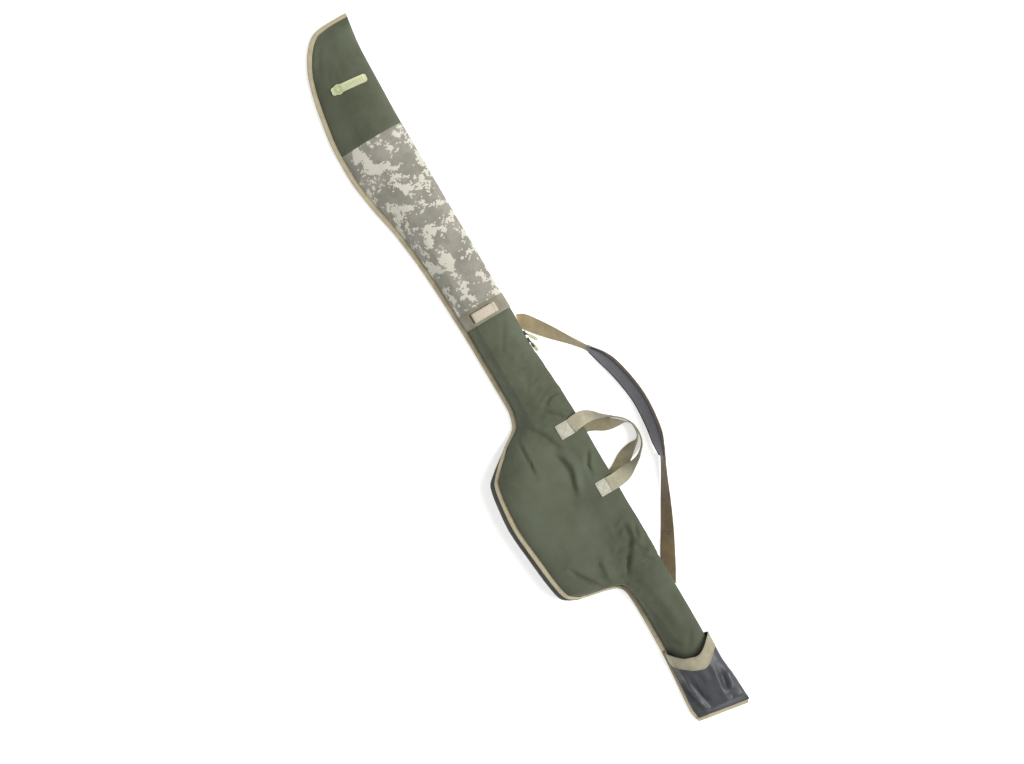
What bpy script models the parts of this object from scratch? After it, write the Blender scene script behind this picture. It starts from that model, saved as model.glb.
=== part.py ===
"""Padded sleeve for one made-up fishing rod: tip hood, zipped body with a reel pouch, butt end with a pocket.

The case lies on its back. +X runs to the rod's tip, +Y to the reel pouch, -Y to the zip, and z = 0 is the
underside of the back panel. Sizes are in millimetres and become metres in solid().
"""

import bisect
import math

import bpy
from mathutils import Matrix, Vector

MM = 0.001

# Driving dimensions.
TIP_X = 993.0
HOOD_X = 689.0
BAND_X = (155.0, 196.0)
FLAP_END_X = -560.0
BOOT_X = -786.0
BUTT_X = -992.0
CORNER_SKEW = 0.17
CORNER_START_X = -940.0

BACK_TOP = 7.8
PANEL = (0.0, 2.6)
PADDING = (2.95, 8.3)
THIN_PADDING = (3.0, 6.6)
SIDE_COLUMNS = 7
COVER_COLUMNS = 8
GAP = 0.3
BINDING = 3.0
SEAM_LOW = 8.6
GUSSET_TOP = 68.0
GUSSET_INSET = 14.0
GUSSET_THICK = 5.0

# The cover folds back about a straight line on its outer face.
HINGE_Y = 36.0
HINGE_Z = 54.0
COVER_ORIGIN = (64.5, HINGE_Y, HINGE_Z)

# The zip stands upright in the side that faces -Y.
ZIP_Y = -54.0
ZIP_EDGE_Y = -57.5
WALL_TOP = 24.0
WALL_THICK = 8.0
COVER_EDGE_Z = 36.2
TAPE_HALF = 0.6
TOOTH_HALF = 1.0
BACK_TAPE_Z = (24.3, 27.3)
BACK_TEETH_Z = (27.6, 29.6)
COVER_TEETH_Z = (30.6, 32.6)
COVER_TAPE_Z = (32.9, 37.6)

SLIDER_X = {"upper": 81.0, "lower": 61.0}
SLIDER_HALF = 6.0
SLIDER_Z = (26.5, 33.7)
PIN_Y = ZIP_Y - 6.7
PIN_R = 0.8
PULL_ANGLE = {"upper": 30.0, "lower": 8.0}
PULL_LINK_Z = {"upper": (30.3, 32.3), "lower": (27.9, 29.9)}
PULL_GRIP_Z = {"upper": (32.6, 35.2), "lower": (25.0, 27.6)}
PULL_WIDTH = 10.0
PULL_REACH = (9.0, 36.0)

WEBBING = 38.0
WEB_THICK = 1.6
STRAP_AXIS_Y = -59.2
STRAP_AXIS_Z = 2.4
SEWN_Y = (-57.9, -56.3)
SEWN_Z = (3.0, 22.0)
STRAP_ENDS_X = (114.0, -604.0)
BACK_HANDLE_ENDS_X = (-190.0, -341.0)
HANDLE_BOXES = {"upper": (-177.0, -6.0, -43.0), "lower": (-349.0, -20.0, -52.0)}
TAB_X = (162.0, 187.0)
TAB_Y = (-32.0, -24.0, 33.0)
BADGE = (838.0, 3.5, 97.0, 22.0, -5.0)

POCKET_TOP = ((-1.0, -794.0), (-0.55, -806.0), (0.0, -829.0), (0.55, -806.0), (1.0, -786.0))
POCKET_BAND = 34.0
POCKET_GAPE = 14.0


def curve_through(*points):
    """A smooth curve y(x) through the points, which never swings past them."""
    xs = [x for x, _ in points]
    ys = [y for _, y in points]
    rises = [(ys[i + 1] - ys[i]) / (xs[i + 1] - xs[i]) for i in range(len(xs) - 1)]
    slopes = [rises[0]]
    for before, after in zip(rises, rises[1:]):
        level = before * after <= 0
        slopes.append(0.0 if level else 2 * before * after / (before + after))
    slopes.append(rises[-1])

    def value(x):
        x = min(max(x, xs[0]), xs[-1])
        i = min(bisect.bisect_right(xs, x) - 1, len(xs) - 2)
        span = xs[i + 1] - xs[i]
        t = (x - xs[i]) / span
        start = ys[i] * (1 + 2 * t) * (1 - t) ** 2 + slopes[i] * span * t * (1 - t) ** 2
        end = ys[i + 1] * t * t * (3 - 2 * t) + slopes[i + 1] * span * t * t * (t - 1)
        return start + end

    return value


# The sewn outline, seen from the front: the seam on the pouch side and the widest line on the zip side.
outline = curve_through(
    (-1000, 56), (-950, 62), (-860, 55), (-760, 48), (-660, 46), (-606, 49), (-584, 62), (-572, 100),
    (-556, 172), (-536, 202), (-500, 211), (-410, 221), (-330, 227), (-250, 220), (-208, 211), (-186, 190),
    (-150, 143), (-106, 86), (-60, 75), (100, 75), (220, 78), (340, 84), (450, 96), (550, 115), (640, 125),
    (700, 124), (800, 111), (895, 88), (950, 60), (994, 22),
)
zip_side = curve_through(
    (-1000, -79), (-950, -75), (-860, -66), (-720, -67), (-600, -68), (-500, -69), (-200, -69), (-100, -67),
    (0, -62), (150, -60), (700, -59), (800, -62), (900, -65), (994, -76),
)
zip_seam = curve_through(
    (-1000, -72), (-900, -61), (-700, ZIP_EDGE_Y), (FLAP_END_X, ZIP_EDGE_Y), (HOOD_X, ZIP_EDGE_Y),
    (800, -59), (900, -61), (994, -71),
)
pouch_height = curve_through(
    (-1000, SEAM_LOW), (-598, SEAM_LOW), (-574, 34), (-540, GUSSET_TOP), (-225, GUSSET_TOP), (-165, 42),
    (-108, SEAM_LOW), (994, SEAM_LOW),
)
fold_y = curve_through(
    (-1000, -10), (-720, 8), (FLAP_END_X, HINGE_Y), (HOOD_X, HINGE_Y), (860, 18), (994, -26)
)
fold_z = curve_through(
    (-1000, 30), (-900, 42), (-760, 50), (FLAP_END_X, HINGE_Z), (HOOD_X, HINGE_Z), (860, 44), (994, 23)
)
wall_top = curve_through((-1000, 14), (-900, WALL_TOP), (HOOD_X, WALL_TOP), (860, 18), (994, 9.5))


def pouch(x):
    """How far the seam has risen onto the reel pouch, from 0 on the sleeve to 1."""
    return (pouch_height(x) - SEAM_LOW) / (GUSSET_TOP - SEAM_LOW)


def back_edge(x):
    return outline(x) - BINDING - GAP


def front_edge(x):
    rise = min(max((pouch_height(x) - 26) / 34, 0), 1)
    return back_edge(x) - GUSSET_INSET * rise


def bezier(corners, t):
    """A point of a cubic curve in (y, z), with the unit vector that points to the case's inside."""
    a, b, c, d = (Vector(corner) for corner in corners)
    point = a * (1 - t) ** 3 + b * 3 * t * (1 - t) ** 2 + c * 3 * t * t * (1 - t) + d * t**3
    along = (b - a) * (1 - t) ** 2 + (c - b) * 2 * t * (1 - t) + (d - c) * t * t
    return point, Vector((-along.y, along.x)).normalized()


def pouch_arc(x, y0):
    """The front from the fold line, at y0, to the seam on the pouch side."""
    high, low, up = fold_z(x), pouch_height(x), pouch(x)
    width = front_edge(x) - y0
    lean = -0.14 * width * (1 - up) + 30 * up
    crest = low + (1 - up) * 0.62 * (high - low) + up * 34
    return ((y0, high), (y0 + 0.35 * width, high + lean), (front_edge(x), crest), (front_edge(x), low))


def zip_arc(x, end_z):
    """The front from the fold line to the zip side."""
    high, side = fold_z(x), zip_side(x)
    reach = fold_y(x) - zip_seam(x)
    swell = 0.13 * reach * (1 - 0.5 * pouch(x))
    outer = zip_seam(x) - 18.5 + 2.9 * (side + 59.5 + (ZIP_EDGE_Y - zip_seam(x)))
    return (
        (fold_y(x), high),
        (fold_y(x) - 0.38 * reach, high + swell),
        (outer, high + 0.6 * swell),
        (zip_seam(x), end_z),
    )


def section(x, part):
    """Points of the front's outer face at x, each with its inward direction, from pouch side to zip."""
    side_steps = [1 - i / (SIDE_COLUMNS - 1) for i in range(SIDE_COLUMNS)]
    cover_steps = [i / (COVER_COLUMNS - 1) for i in range(COVER_COLUMNS)]
    if part == "cover":
        return [bezier(zip_arc(x, COVER_EDGE_Z), t) for t in cover_steps]
    if part == "side":
        return [flip(bezier(pouch_arc(x, HINGE_Y + 0.5), t)) for t in side_steps]
    left = [flip(bezier(pouch_arc(x, fold_y(x)), t)) for t in side_steps]
    right = [bezier(zip_arc(x, wall_top(x) + 0.6), t) for t in cover_steps]
    return left + right[1:]


def flip(found):
    point, inward = found
    return point, -inward


def skewed(x, y):
    """x with the butt end's slanted hem: the hem runs forward towards the pouch side."""
    share = min(max((CORNER_START_X - x) / (CORNER_START_X - BUTT_X), 0), 1)
    return x + CORNER_SKEW * (y + 80) * share


def ruler():
    """Where the pieces have their sections: close together where the pouch turns, and at every seam."""
    found = [BUTT_X]
    while found[-1] < TIP_X:
        x = found[-1]
        turning = -625 < x < -520 or -260 < x < -95 or x > 930
        found.append(x + (13 if turning else 56))
    seams = (BOOT_X, FLAP_END_X, *BAND_X, HOOD_X, TIP_X)
    kept = [x for x in found if all(abs(x - seam) > 6 for seam in seams) and x < TIP_X]
    return sorted([*kept, *seams])


RULER = ruler()


def ruled(x):
    """The ruler's mark nearest to x."""
    return min(RULER, key=lambda mark: abs(mark - x))


def stations(x0, x1):
    return [x0, *(x for x in RULER if x0 + 1 < x < x1 - 1), x1]


def material(name, colour, roughness, metallic=0.0):
    made = bpy.data.materials.new(name)
    made.use_nodes = True
    shader = made.node_tree.nodes["Principled BSDF"]
    shader.inputs["Base Color"].default_value = (*colour, 1)
    shader.inputs["Roughness"].default_value = roughness
    shader.inputs["Metallic"].default_value = metallic
    return made


FINISHES = {
    "green": ((0.105, 0.120, 0.078), 0.75, 0.0),
    "camo": ((0.33, 0.32, 0.27), 0.75, 0.0),
    "pvc": ((0.045, 0.048, 0.055), 0.5, 0.0),
    "tan": ((0.46, 0.41, 0.26), 0.8, 0.0),
    "band": ((0.30, 0.28, 0.21), 0.8, 0.0),
    "handle": ((0.56, 0.54, 0.42), 0.8, 0.0),
    "strap": ((0.36, 0.29, 0.17), 0.8, 0.0),
    "pad": ((0.15, 0.15, 0.17), 0.85, 0.0),
    "foam": ((0.65, 0.65, 0.62), 0.95, 0.0),
    "lining": ((0.05, 0.055, 0.045), 0.85, 0.0),
    "tape": ((0.06, 0.07, 0.06), 0.8, 0.0),
    "teeth": ((0.05, 0.055, 0.05), 0.45, 0.0),
    "metal": ((0.12, 0.12, 0.13), 0.35, 1.0),
    "rubber": ((0.52, 0.60, 0.26), 0.55, 0.0),
    "tab": ((0.68, 0.62, 0.48), 0.85, 0.0),
}


def solid(name, points, faces, finish, origin=(0, 0, 0)):
    """One named object from points in millimetres; its own origin lies at origin."""
    mesh = bpy.data.meshes.new(name)
    shift = Vector(origin)
    mesh.from_pydata([(Vector(point) - shift) * MM for point in points], [], faces)
    mesh.update()
    made = bpy.data.objects.new(name, mesh)
    made.location = shift * MM
    made.data.materials.append(material(name, *FINISHES[finish]))
    bpy.context.scene.collection.objects.link(made)
    mesh.shade_smooth()
    mesh.set_sharp_from_angle(angle=math.radians(35))
    return made


def volume(points, faces):
    total = 0.0
    for face in faces:
        a = Vector(points[face[0]])
        for j, k in zip(face[1:], face[2:]):
            total += a.dot(Vector(points[j]).cross(Vector(points[k])))
    return total


def slab(name, upper, lower, finish, origin=(0, 0, 0)):
    """A closed sheet between two grids of points with the same rows and columns."""
    rows, columns = len(upper), len(upper[0])
    points = [point for row in upper for point in row] + [point for row in lower for point in row]
    under = rows * columns

    def at(i, j, base=0):
        return base + i * columns + j

    faces = []
    for i in range(rows - 1):
        for j in range(columns - 1):
            a, b, c, d = at(i, j), at(i + 1, j), at(i + 1, j + 1), at(i, j + 1)
            faces += [(a, b, c), (a, c, d)]
            faces += [(c + under, b + under, a + under), (d + under, c + under, a + under)]
    rim = [at(i, 0) for i in range(rows)] + [at(rows - 1, j) for j in range(1, columns)]
    rim += [at(i, columns - 1) for i in range(rows - 2, -1, -1)]
    rim += [at(0, j) for j in range(columns - 2, 0, -1)]
    for a, b in zip(rim, rim[1:] + rim[:1]):
        faces += [(b, a, a + under), (b, a + under, b + under)]
    if volume(points, faces) < 0:
        faces = [face[::-1] for face in faces]
    return solid(name, points, faces, finish, origin)


def front_sheet(name, x0, x1, part, depths, finish, trims=(0, 0), origin=(0, 0, 0)):
    """A layer of the front between two depths below its outer face; trims shorten its two free edges."""
    grids = []
    for depth in depths:
        grid = []
        for x in stations(x0, x1):
            row = [point + inward * depth for point, inward in section(x, part)]
            row[0] += trims[0] * (row[1] - row[0]).normalized()
            row[-1] += trims[1] * (row[-2] - row[-1]).normalized()
            grid.append([(skewed(x, point.x), point.x, point.y) for point in row])
        grids.append(grid)
    return slab(name, *grids, finish, origin)


def back_sheet(name, x0, x1, heights, finish, inset=0.0):
    """A flat layer of the back, inside the outline by inset."""
    grids = []
    for z in heights:
        grid = []
        for x in stations(x0, x1):
            left, right = back_edge(x) - inset, zip_seam(x) + 1.5 + inset
            grid.append([(skewed(x, y), y, z) for y in (left, right)])
        grids.append(grid)
    return slab(name, *grids, finish)


def edge_strip(name, x0, x1, edge, heights, finish, thick=BINDING):
    """A strip that stands on the outside of an edge y(x), between heights(x), square to the edge's course."""
    inner, outer = [], []
    for x in stations(x0, x1):
        y = edge(x)
        slope = (edge(x + 0.5) - edge(x - 0.5)) / 1.0
        out = Vector((-slope, 1)).normalized()
        low, high = heights(x)
        for grid, away in ((inner, GAP), (outer, GAP + thick)):
            px, py = x + out.x * away, y + out.y * away
            grid.append([(skewed(px, py), py, low), (skewed(px, py), py, high)])
    return slab(name, outer, inner, finish)


def bar(name, x0, x1, ys, zs, finish, origin=(0, 0, 0)):
    """A straight bar along X."""
    upper = [[(x, y, zs[1]) for y in ys] for x in (x0, x1)]
    lower = [[(x, y, zs[0]) for y in ys] for x in (x0, x1)]
    return slab(name, upper, lower, finish, origin)


def cover_height(x, y):
    """Height of the cover's outer face over the point (x, y)."""
    arc = zip_arc(x, COVER_EDGE_Z)
    low, high = 0.0, 0.72
    for _ in range(30):
        middle = (low + high) / 2
        if bezier(arc, middle)[0].x > y:
            low = middle
        else:
            high = middle
    return bezier(arc, low)[0].y


def front_height(x, y):
    """Height of the whole front over the point (x, y)."""
    if y <= fold_y(x):
        return cover_height(x, y)
    arc = pouch_arc(x, fold_y(x))
    low, high = 0.0, 0.9
    for _ in range(30):
        middle = (low + high) / 2
        if bezier(arc, middle)[0].x < y:
            low = middle
        else:
            high = middle
    return bezier(arc, low)[0].y


def patch(name, centre, half, turn, depths, finish, origin=(0, 0, 0), cells=(5, 4)):
    """A thin rectangle that lies on the front; half is its half length along Y and half width along X."""
    spin = Matrix.Rotation(math.radians(turn), 2)
    grids = []
    for depth in depths:
        grid = []
        for i in range(cells[1]):
            row = []
            for j in range(cells[0]):
                across = half[1] * (2 * i / (cells[1] - 1) - 1)
                along = half[0] * (2 * j / (cells[0] - 1) - 1)
                step = spin @ Vector((across, along))
                x, y = centre[0] + step.x, centre[1] + step.y
                row.append((x, y, front_height(x, y) + depth))
            grid.append(row)
        grids.append(grid)
    return slab(name, *grids, finish, origin)


def smooth_route(points, count):
    """Evenly numbered points of a smooth curve through the route's own points; the last value is a tilt."""
    route = [Vector(point) for point in points]
    route = [2 * route[0] - route[1], *route, 2 * route[-1] - route[-2]]
    found = []
    for i in range(count):
        place = i / (count - 1) * (len(points) - 1)
        k = min(int(place), len(points) - 2)
        t = place - k
        a, b, c, d = route[k : k + 4]
        square, cube = 2 * a - 5 * b + 4 * c - d, 3 * b - a - 3 * c + d
        found.append(0.5 * (2 * b + (c - a) * t + square * t**2 + cube * t**3))
    return found


def ribbon(
    name, points, width, thick, finish, origin, count, shift=0.0, flat_ends=(False, False), most_y=0.0
):
    """Flat webbing along a route of (x, y, z, tilt): tilt 0 lies flat, and below 0 lifts the outer edge."""
    route = smooth_route(points, count)
    upper, lower = [], []
    for i, place in enumerate(route):
        ahead, behind = route[min(i + 1, count - 1)], route[max(i - 1, 0)]
        along = (ahead - behind).xyz.normalized()
        if flat_ends[0] and i == 0 or flat_ends[1] and i == count - 1:
            along = Vector((0, -1 if i == 0 else 1, 0))
        side = along.cross(Vector((0, 0, 1))).normalized()
        up = side.cross(along)
        tilt = math.radians(place.w)
        across = side * math.cos(tilt) + up * math.sin(tilt)
        face = across.cross(along)
        half = width(i / (count - 1)) / 2 if callable(width) else width / 2
        centre = place.xyz + face * shift
        for grid, level in ((upper, thick / 2), (lower, -thick / 2)):
            edges = [centre + across * half + face * level, centre - across * half + face * level]
            grid.append([(edge.x, min(edge.y, most_y), edge.z) for edge in edges])
    return slab(name, upper, lower, finish, origin)


def prism(name, outline_points, place, finish, origin=(0, 0, 0)):
    """A solid between two copies of a polygon; place(point, end) puts each point, end being 0 or 1."""
    count = len(outline_points)
    points = [place(point, end) for end in (0, 1) for point in outline_points]
    faces = [tuple(range(count)), tuple(range(2 * count - 1, count - 1, -1))]
    for i in range(count):
        j = (i + 1) % count
        faces.append((j, i, i + count, j + count))
    if volume(points, faces) < 0:
        faces = [face[::-1] for face in faces]
    return solid(name, points, faces, finish, origin)


def circle(centre, radius, count=12):
    angles = [2 * math.pi * i / count for i in range(count)]
    return [(centre[0] + radius * math.cos(a), centre[1] + radius * math.sin(a)) for a in angles]


def combine(target, operation, tool):
    """A Boolean with a helper that the render leaves out."""
    tool.hide_render = True
    tool.display_type = "WIRE"
    cut = target.modifiers.new(tool.name, "BOOLEAN")
    cut.operation = operation
    cut.solver = "EXACT"
    cut.object = tool


def make_back():
    back_sheet("back_panel", BOOT_X + GAP, TIP_X, (2.6, 0.0), "green")
    back_sheet("boot_back_panel", BUTT_X, BOOT_X - GAP, (2.6, 0.0), "pvc")
    back_sheet("back_foam", BUTT_X + 8, TIP_X - 8, (6.7, 2.9), "foam", 5.0)
    back_sheet("back_lining", BUTT_X + 8, TIP_X - 8, (BACK_TOP, 7.0), "lining", 3.0)


def make_zip_wall():
    """The padded strip between the back panel and the zip, with the hood's part of it lower."""
    upper, lower = [], []
    for x in stations(BUTT_X, TIP_X):
        ys = (zip_seam(x) + 1.5 + WALL_THICK, zip_seam(x) + 1.5)
        upper.append([(skewed(x, y), y, max(wall_top(x), SEAM_LOW + 1)) for y in ys])
        lower.append([(skewed(x, y), y, BACK_TOP + GAP) for y in ys])
    slab("zip_side_wall", upper, lower, "green")


def make_front():
    """The outer fabric of each panel, and the quilted foam that lines it."""
    front_sheet("tip_hood", HOOD_X + GAP, TIP_X, "full", PANEL, "green")
    front_sheet("hood_padding", HOOD_X + GAP, ruled(TIP_X - 130), "full", THIN_PADDING, "lining", (4, 4))
    front_sheet("camo_side_panel", BAND_X[0] + GAP, HOOD_X, "side", PANEL, "camo")
    front_sheet("pouch_panel", FLAP_END_X + GAP, BAND_X[0], "side", PANEL, "green")
    front_sheet("side_padding", ruled(FLAP_END_X + 20), HOOD_X - 2, "side", PADDING, "lining", (2, 2))
    front_sheet("lower_front_panel", BUTT_X, FLAP_END_X - GAP, "full", PANEL, "green")
    ends = (ruled(BUTT_X + 55), ruled(FLAP_END_X - 35))
    front_sheet("lower_padding", *ends, "full", THIN_PADDING, "lining", (5, 5))
    origin = COVER_ORIGIN
    front_sheet("camo_cover_panel", BAND_X[0] + GAP, HOOD_X - GAP, "cover", PANEL, "camo", origin=origin)
    front_sheet("main_cover_panel", FLAP_END_X + GAP, BAND_X[0], "cover", PANEL, "green", origin=origin)
    front_sheet("cover_padding", FLAP_END_X + 2, HOOD_X - 2, "cover", THIN_PADDING, "lining", (1, 3), origin)


def make_bands():
    front_sheet("cross_band_side", *BAND_X, "side", (-1.8, -0.4), "band", (11, 3.2))
    front_sheet("cross_band", *BAND_X, "cover", (-1.8, -0.4), "band", (3.2, 1), COVER_ORIGIN)
    middle_x, half_x = sum(TAB_X) / 2, (TAB_X[1] - TAB_X[0]) / 2
    sewn_y, sewn_half = (TAB_Y[0] + TAB_Y[1]) / 2, (TAB_Y[1] - TAB_Y[0]) / 2 - 0.2
    free_y, free_half = (TAB_Y[1] + TAB_Y[2]) / 2, (TAB_Y[2] - TAB_Y[1]) / 2 - 0.2
    patch("tab_sewn_end", (middle_x, sewn_y), (sewn_half, half_x), 0, (4.0, 2.2), "tab", COVER_ORIGIN)
    pivot = (middle_x, TAB_Y[1], front_height(middle_x, TAB_Y[1]) + 4.0)
    patch("pole_tab", (middle_x, free_y), (free_half, half_x), 0, (4.0, 2.2), "tab", pivot, (9, 3))
    centre = BADGE[:2]
    patch("badge", centre, (BADGE[2] / 2, BADGE[3] / 2), BADGE[4], (2.6, 0.4), "rubber", cells=(9, 4))


def make_gusset():
    """The pouch's side: it leans out from the front's seam to the back's."""
    outer, inner = [], []
    for x in stations(-590.0, -118.0):
        top = pouch_height(x) - GAP
        knee = max(top - 10, (top + SEAM_LOW) / 2)
        levels = ((back_edge(x), SEAM_LOW), (front_edge(x), knee), (front_edge(x), top))
        slope = (back_edge(x + 0.5) - back_edge(x - 0.5)) / 1.0
        turn = Vector((slope, -1)).normalized() * GUSSET_THICK
        outer.append([(x, y, z) for y, z in levels])
        inner.append([(x + turn.x, y + turn.y, z) for y, z in levels])
    slab("reel_gusset", outer, inner, "green")


def make_bindings():
    def low_high(x):
        return pouch_height(x) - 7, pouch_height(x) + 9 - 2 * pouch(x)

    edge_strip("seam_binding", -985, TIP_X - 8, front_edge, low_high, "tan")
    edge_strip("pouch_back_binding", -574, -146, back_edge, lambda x: (1.6, 15.6), "tan")
    hem = [(skewed(BUTT_X, y) - 3.6, y) for y in (back_edge(BUTT_X) - 2, -10, zip_seam(BUTT_X))]
    upper = [[(x, y, 26.0) for x, y in hem], [(x - 3, y, 24.0) for x, y in hem]]
    lower = [[(x, y, 1.2) for x, y in hem], [(x - 3, y, 3.0) for x, y in hem]]
    slab("butt_binding", upper, lower, "tan")
    top = [(TIP_X + GAP + 0.2, y) for y in (back_edge(TIP_X) - 1, zip_seam(TIP_X))]
    upper = [[(x, y, 17.0) for x, y in top], [(x + 3, y, 16.0) for x, y in top]]
    lower = [[(x, y, 1.2) for x, y in top], [(x + 3, y, 2.2) for x, y in top]]
    slab("tip_binding", upper, lower, "tan")


def make_pocket():
    """The pocket on the butt end: a sheet sewn down at its sides and hem, with its mouth standing open."""
    mouth = curve_through(*POCKET_TOP)
    rows = 9

    def row(x_of, depth, t):
        found = []
        last = SIDE_COLUMNS + COVER_COLUMNS - 2
        for j in range(1, last):
            share = 1 - 2 * (j - 1) / (last - 2)
            x = x_of(share)
            point, inward = section(x, "full")[j]
            gape = POCKET_GAPE * max(0.0, math.cos(share * math.pi / 2)) ** 0.8 * (1 - t) ** 1.3
            place = point - inward * (depth + gape)
            found.append((skewed(x, place.x), place.x, place.y))
        return found

    steps = [i / (rows - 1) for i in range(rows)]
    hem = BUTT_X + 1
    grids = [
        [row(lambda s, t=t: mouth(s) * (1 - t) + hem * t, depth, t) for t in steps]
        for depth in (2.6, 1.2)
    ]
    slab("butt_pocket", *grids, "pvc")
    length = BOOT_X - BUTT_X
    steps = [i / 3 for i in range(4)]
    grids = [
        [row(lambda s, t=t: mouth(s) - POCKET_BAND * t, depth, POCKET_BAND * t / length) for t in steps]
        for depth in (4.2, 2.9)
    ]
    slab("pocket_band", *grids, "tan")


def make_zip():
    ends = (FLAP_END_X + 4, HOOD_X - 4)
    tape = (ZIP_Y - TAPE_HALF, ZIP_Y + TAPE_HALF)
    teeth = (ZIP_Y - TOOTH_HALF, ZIP_Y + TOOTH_HALF)
    bar("zip_tape_back", *ends, tape, BACK_TAPE_Z, "tape")
    bar("zip_teeth_back", *ends, teeth, BACK_TEETH_Z, "teeth")
    bar("zip_tape_cover", *ends, tape, COVER_TAPE_Z, "tape", COVER_ORIGIN)
    bar("zip_teeth_cover", *ends, teeth, COVER_TEETH_Z, "teeth", COVER_ORIGIN)
    for name, x in (("zip_stop_tip", ends[1] + GAP), ("zip_stop_butt", FLAP_END_X + GAP)):
        bar(name, x, x + 4 - 2 * GAP, (ZIP_Y - 1.5, ZIP_Y + 1.5), (26.0, 30.2), "metal")


def make_slider(which):
    """A slider: two wings joined by a post between the rows of teeth, and two ears that hold a pin."""
    x = SLIDER_X[which]
    low, high = SLIDER_Z
    inner, outer, ears = (ZIP_Y + 2.4, ZIP_Y + 4.0), (ZIP_Y - 2.4, ZIP_Y - 4.0), ZIP_Y - 8.6
    post = ((BACK_TEETH_Z[1] + COVER_TEETH_Z[0]) / 2 - 0.25, (BACK_TEETH_Z[1] + COVER_TEETH_Z[0]) / 2 + 0.25)
    shape = [
        (inner[1], low), (inner[1], high), (inner[0], high), (inner[0], post[1]), (outer[0], post[1]),
        (outer[0], high), (ears, high), (ears, high - 1.2), (outer[1], high - 1.2), (outer[1], low + 1.2),
        (ears, low + 1.2), (ears, low), (outer[0], low), (outer[0], post[0]),
        (inner[0], post[0]), (inner[0], low),
    ]

    def place(point, end):
        return (x + SLIDER_HALF * (2 * end - 1), *point)

    body = prism(f"{which}_slider", shape, place, "metal", (x, ZIP_Y, sum(post) / 2))
    pin = prism(
        f"{which}_pin_helper",
        circle((x, PIN_Y), PIN_R),
        lambda point, end: (*point, (high - 0.6) if end else (low + 0.6)),
        "metal",
    )
    combine(body, "UNION", pin)


def make_puller(which):
    """The slider's pull: a metal link round the pin, and a rubber grip on it."""
    pivot = Vector((SLIDER_X[which], PIN_Y))
    angle = math.radians(PULL_ANGLE[which])
    along = Vector((-math.cos(angle), -math.sin(angle)))
    across = Vector((-along.y, along.x))
    origin = (pivot.x, pivot.y, sum(PULL_LINK_Z[which]) / 2)

    def outline_of(points):
        return [tuple(pivot + along * a + across * b) for a, b in points]

    def rise(levels):
        return lambda point, end: (*point, levels[end])

    eye = [(-2.3 * math.cos(a), 2.3 * math.sin(a)) for a in (math.radians(d) for d in range(-60, 61, 20))]
    link = prism(
        f"{which}_pull_link",
        outline_of([*eye, (2.5, 1.7), (22, 1.7), (22, -1.7), (2.5, -1.7)]),
        rise(PULL_LINK_Z[which]),
        "metal",
        origin,
    )
    low, high = PULL_LINK_Z[which]
    hole = prism(f"{which}_pull_hole", circle(pivot, PIN_R + 0.4), rise((low - 1, high + 1)), "metal")
    combine(link, "DIFFERENCE", hole)
    start, end = PULL_REACH
    half = PULL_WIDTH / 2
    grip = [(start, -half + 2), (start + 2, -half), (end - 3, -half), (end, -half + 3), (end, half - 3)]
    grip += [(end - 3, half), (start + 2, half), (start, half - 2)]
    prism(f"{which}_pull_grip", outline_of(grip), rise(PULL_GRIP_Z[which]), "rubber", origin)


def handle_axis():
    """Where the front handle's legs leave their stitching: a point and the line's direction."""
    ends = []
    for x, _, y in HANDLE_BOXES.values():
        ends.append(Vector((x, y, cover_height(x, y) + 2.0)))
    return ends


def make_front_handle():
    first, last = handle_axis()
    for which, (x, y0, y1) in HANDLE_BOXES.items():
        middle, half = (y0 + y1) / 2, (y0 - y1) / 2 - 0.5
        name, halves = f"front_handle_{which}_end", (half, WEBBING / 2)
        patch(name, (x, middle), halves, 0, (2.0, 0.4), "handle", COVER_ORIGIN)
    route = [
        (first.x, first.y - 1.2, first.z - 0.8, 0), (-172, -60, 61.5, -3), (-168, -78, 58, -12),
        (-172, -98, 49, -40), (-185, -118, 41, -68), (-203, -146, 28, -82), (-224, -172, 22.5, -86),
        (-250, -186, 21, -88), (-283, -187, 21, -88), (-308, -177, 21.5, -86), (-328, -154, 27, -78),
        (-340, -122, 41, -50), (-346, -96, 50, -20), (-349, -76, 59, -5),
        (last.x, last.y - 1.2, last.z - 0.8, 0),
    ]
    ribbon("front_handle", route, WEBBING, WEB_THICK, "handle", first, 34, flat_ends=(True, True))


def make_back_handle():
    for which, x in zip(("upper", "lower"), BACK_HANDLE_ENDS_X):
        bar(f"back_handle_{which}_end", x - WEBBING / 2, x + WEBBING / 2, SEWN_Y, SEWN_Z, "handle")
    z = STRAP_AXIS_Z - WEB_THICK / 2
    first, last = BACK_HANDLE_ENDS_X
    start_y = STRAP_AXIS_Y - 0.4
    route = [
        (first, start_y, z, 0), (first - 3, -76, 3, -2), (-201, -96, 5.5, -8), (-216, -119, 10, -24),
        (-227, -145, 17.5, -60), (-236, -164, 20.2, -86), (-248, -176, 20.2, -88), (-272, -177, 20.2, -88),
        (-289, -168, 20.2, -86), (-298, -148, 17.5, -60), (-311, -120, 10, -24), (-327, -97, 5.5, -8),
        (last + 4, -78, 3, -2), (last, start_y, z, 0),
    ]
    ribbon(
        "back_handle", route, WEBBING, WEB_THICK, "handle", (first, STRAP_AXIS_Y, STRAP_AXIS_Z), 32,
        flat_ends=(True, True), most_y=start_y,
    )


def pad_width(t):
    """The shoulder pad's width, rounded off at its two ends."""
    ends = min(t, 1 - t)
    return 30 + 28 * min(1.0, math.sqrt(max(0.0, 1 - (1 - min(ends / 0.09, 1)) ** 2)))


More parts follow.
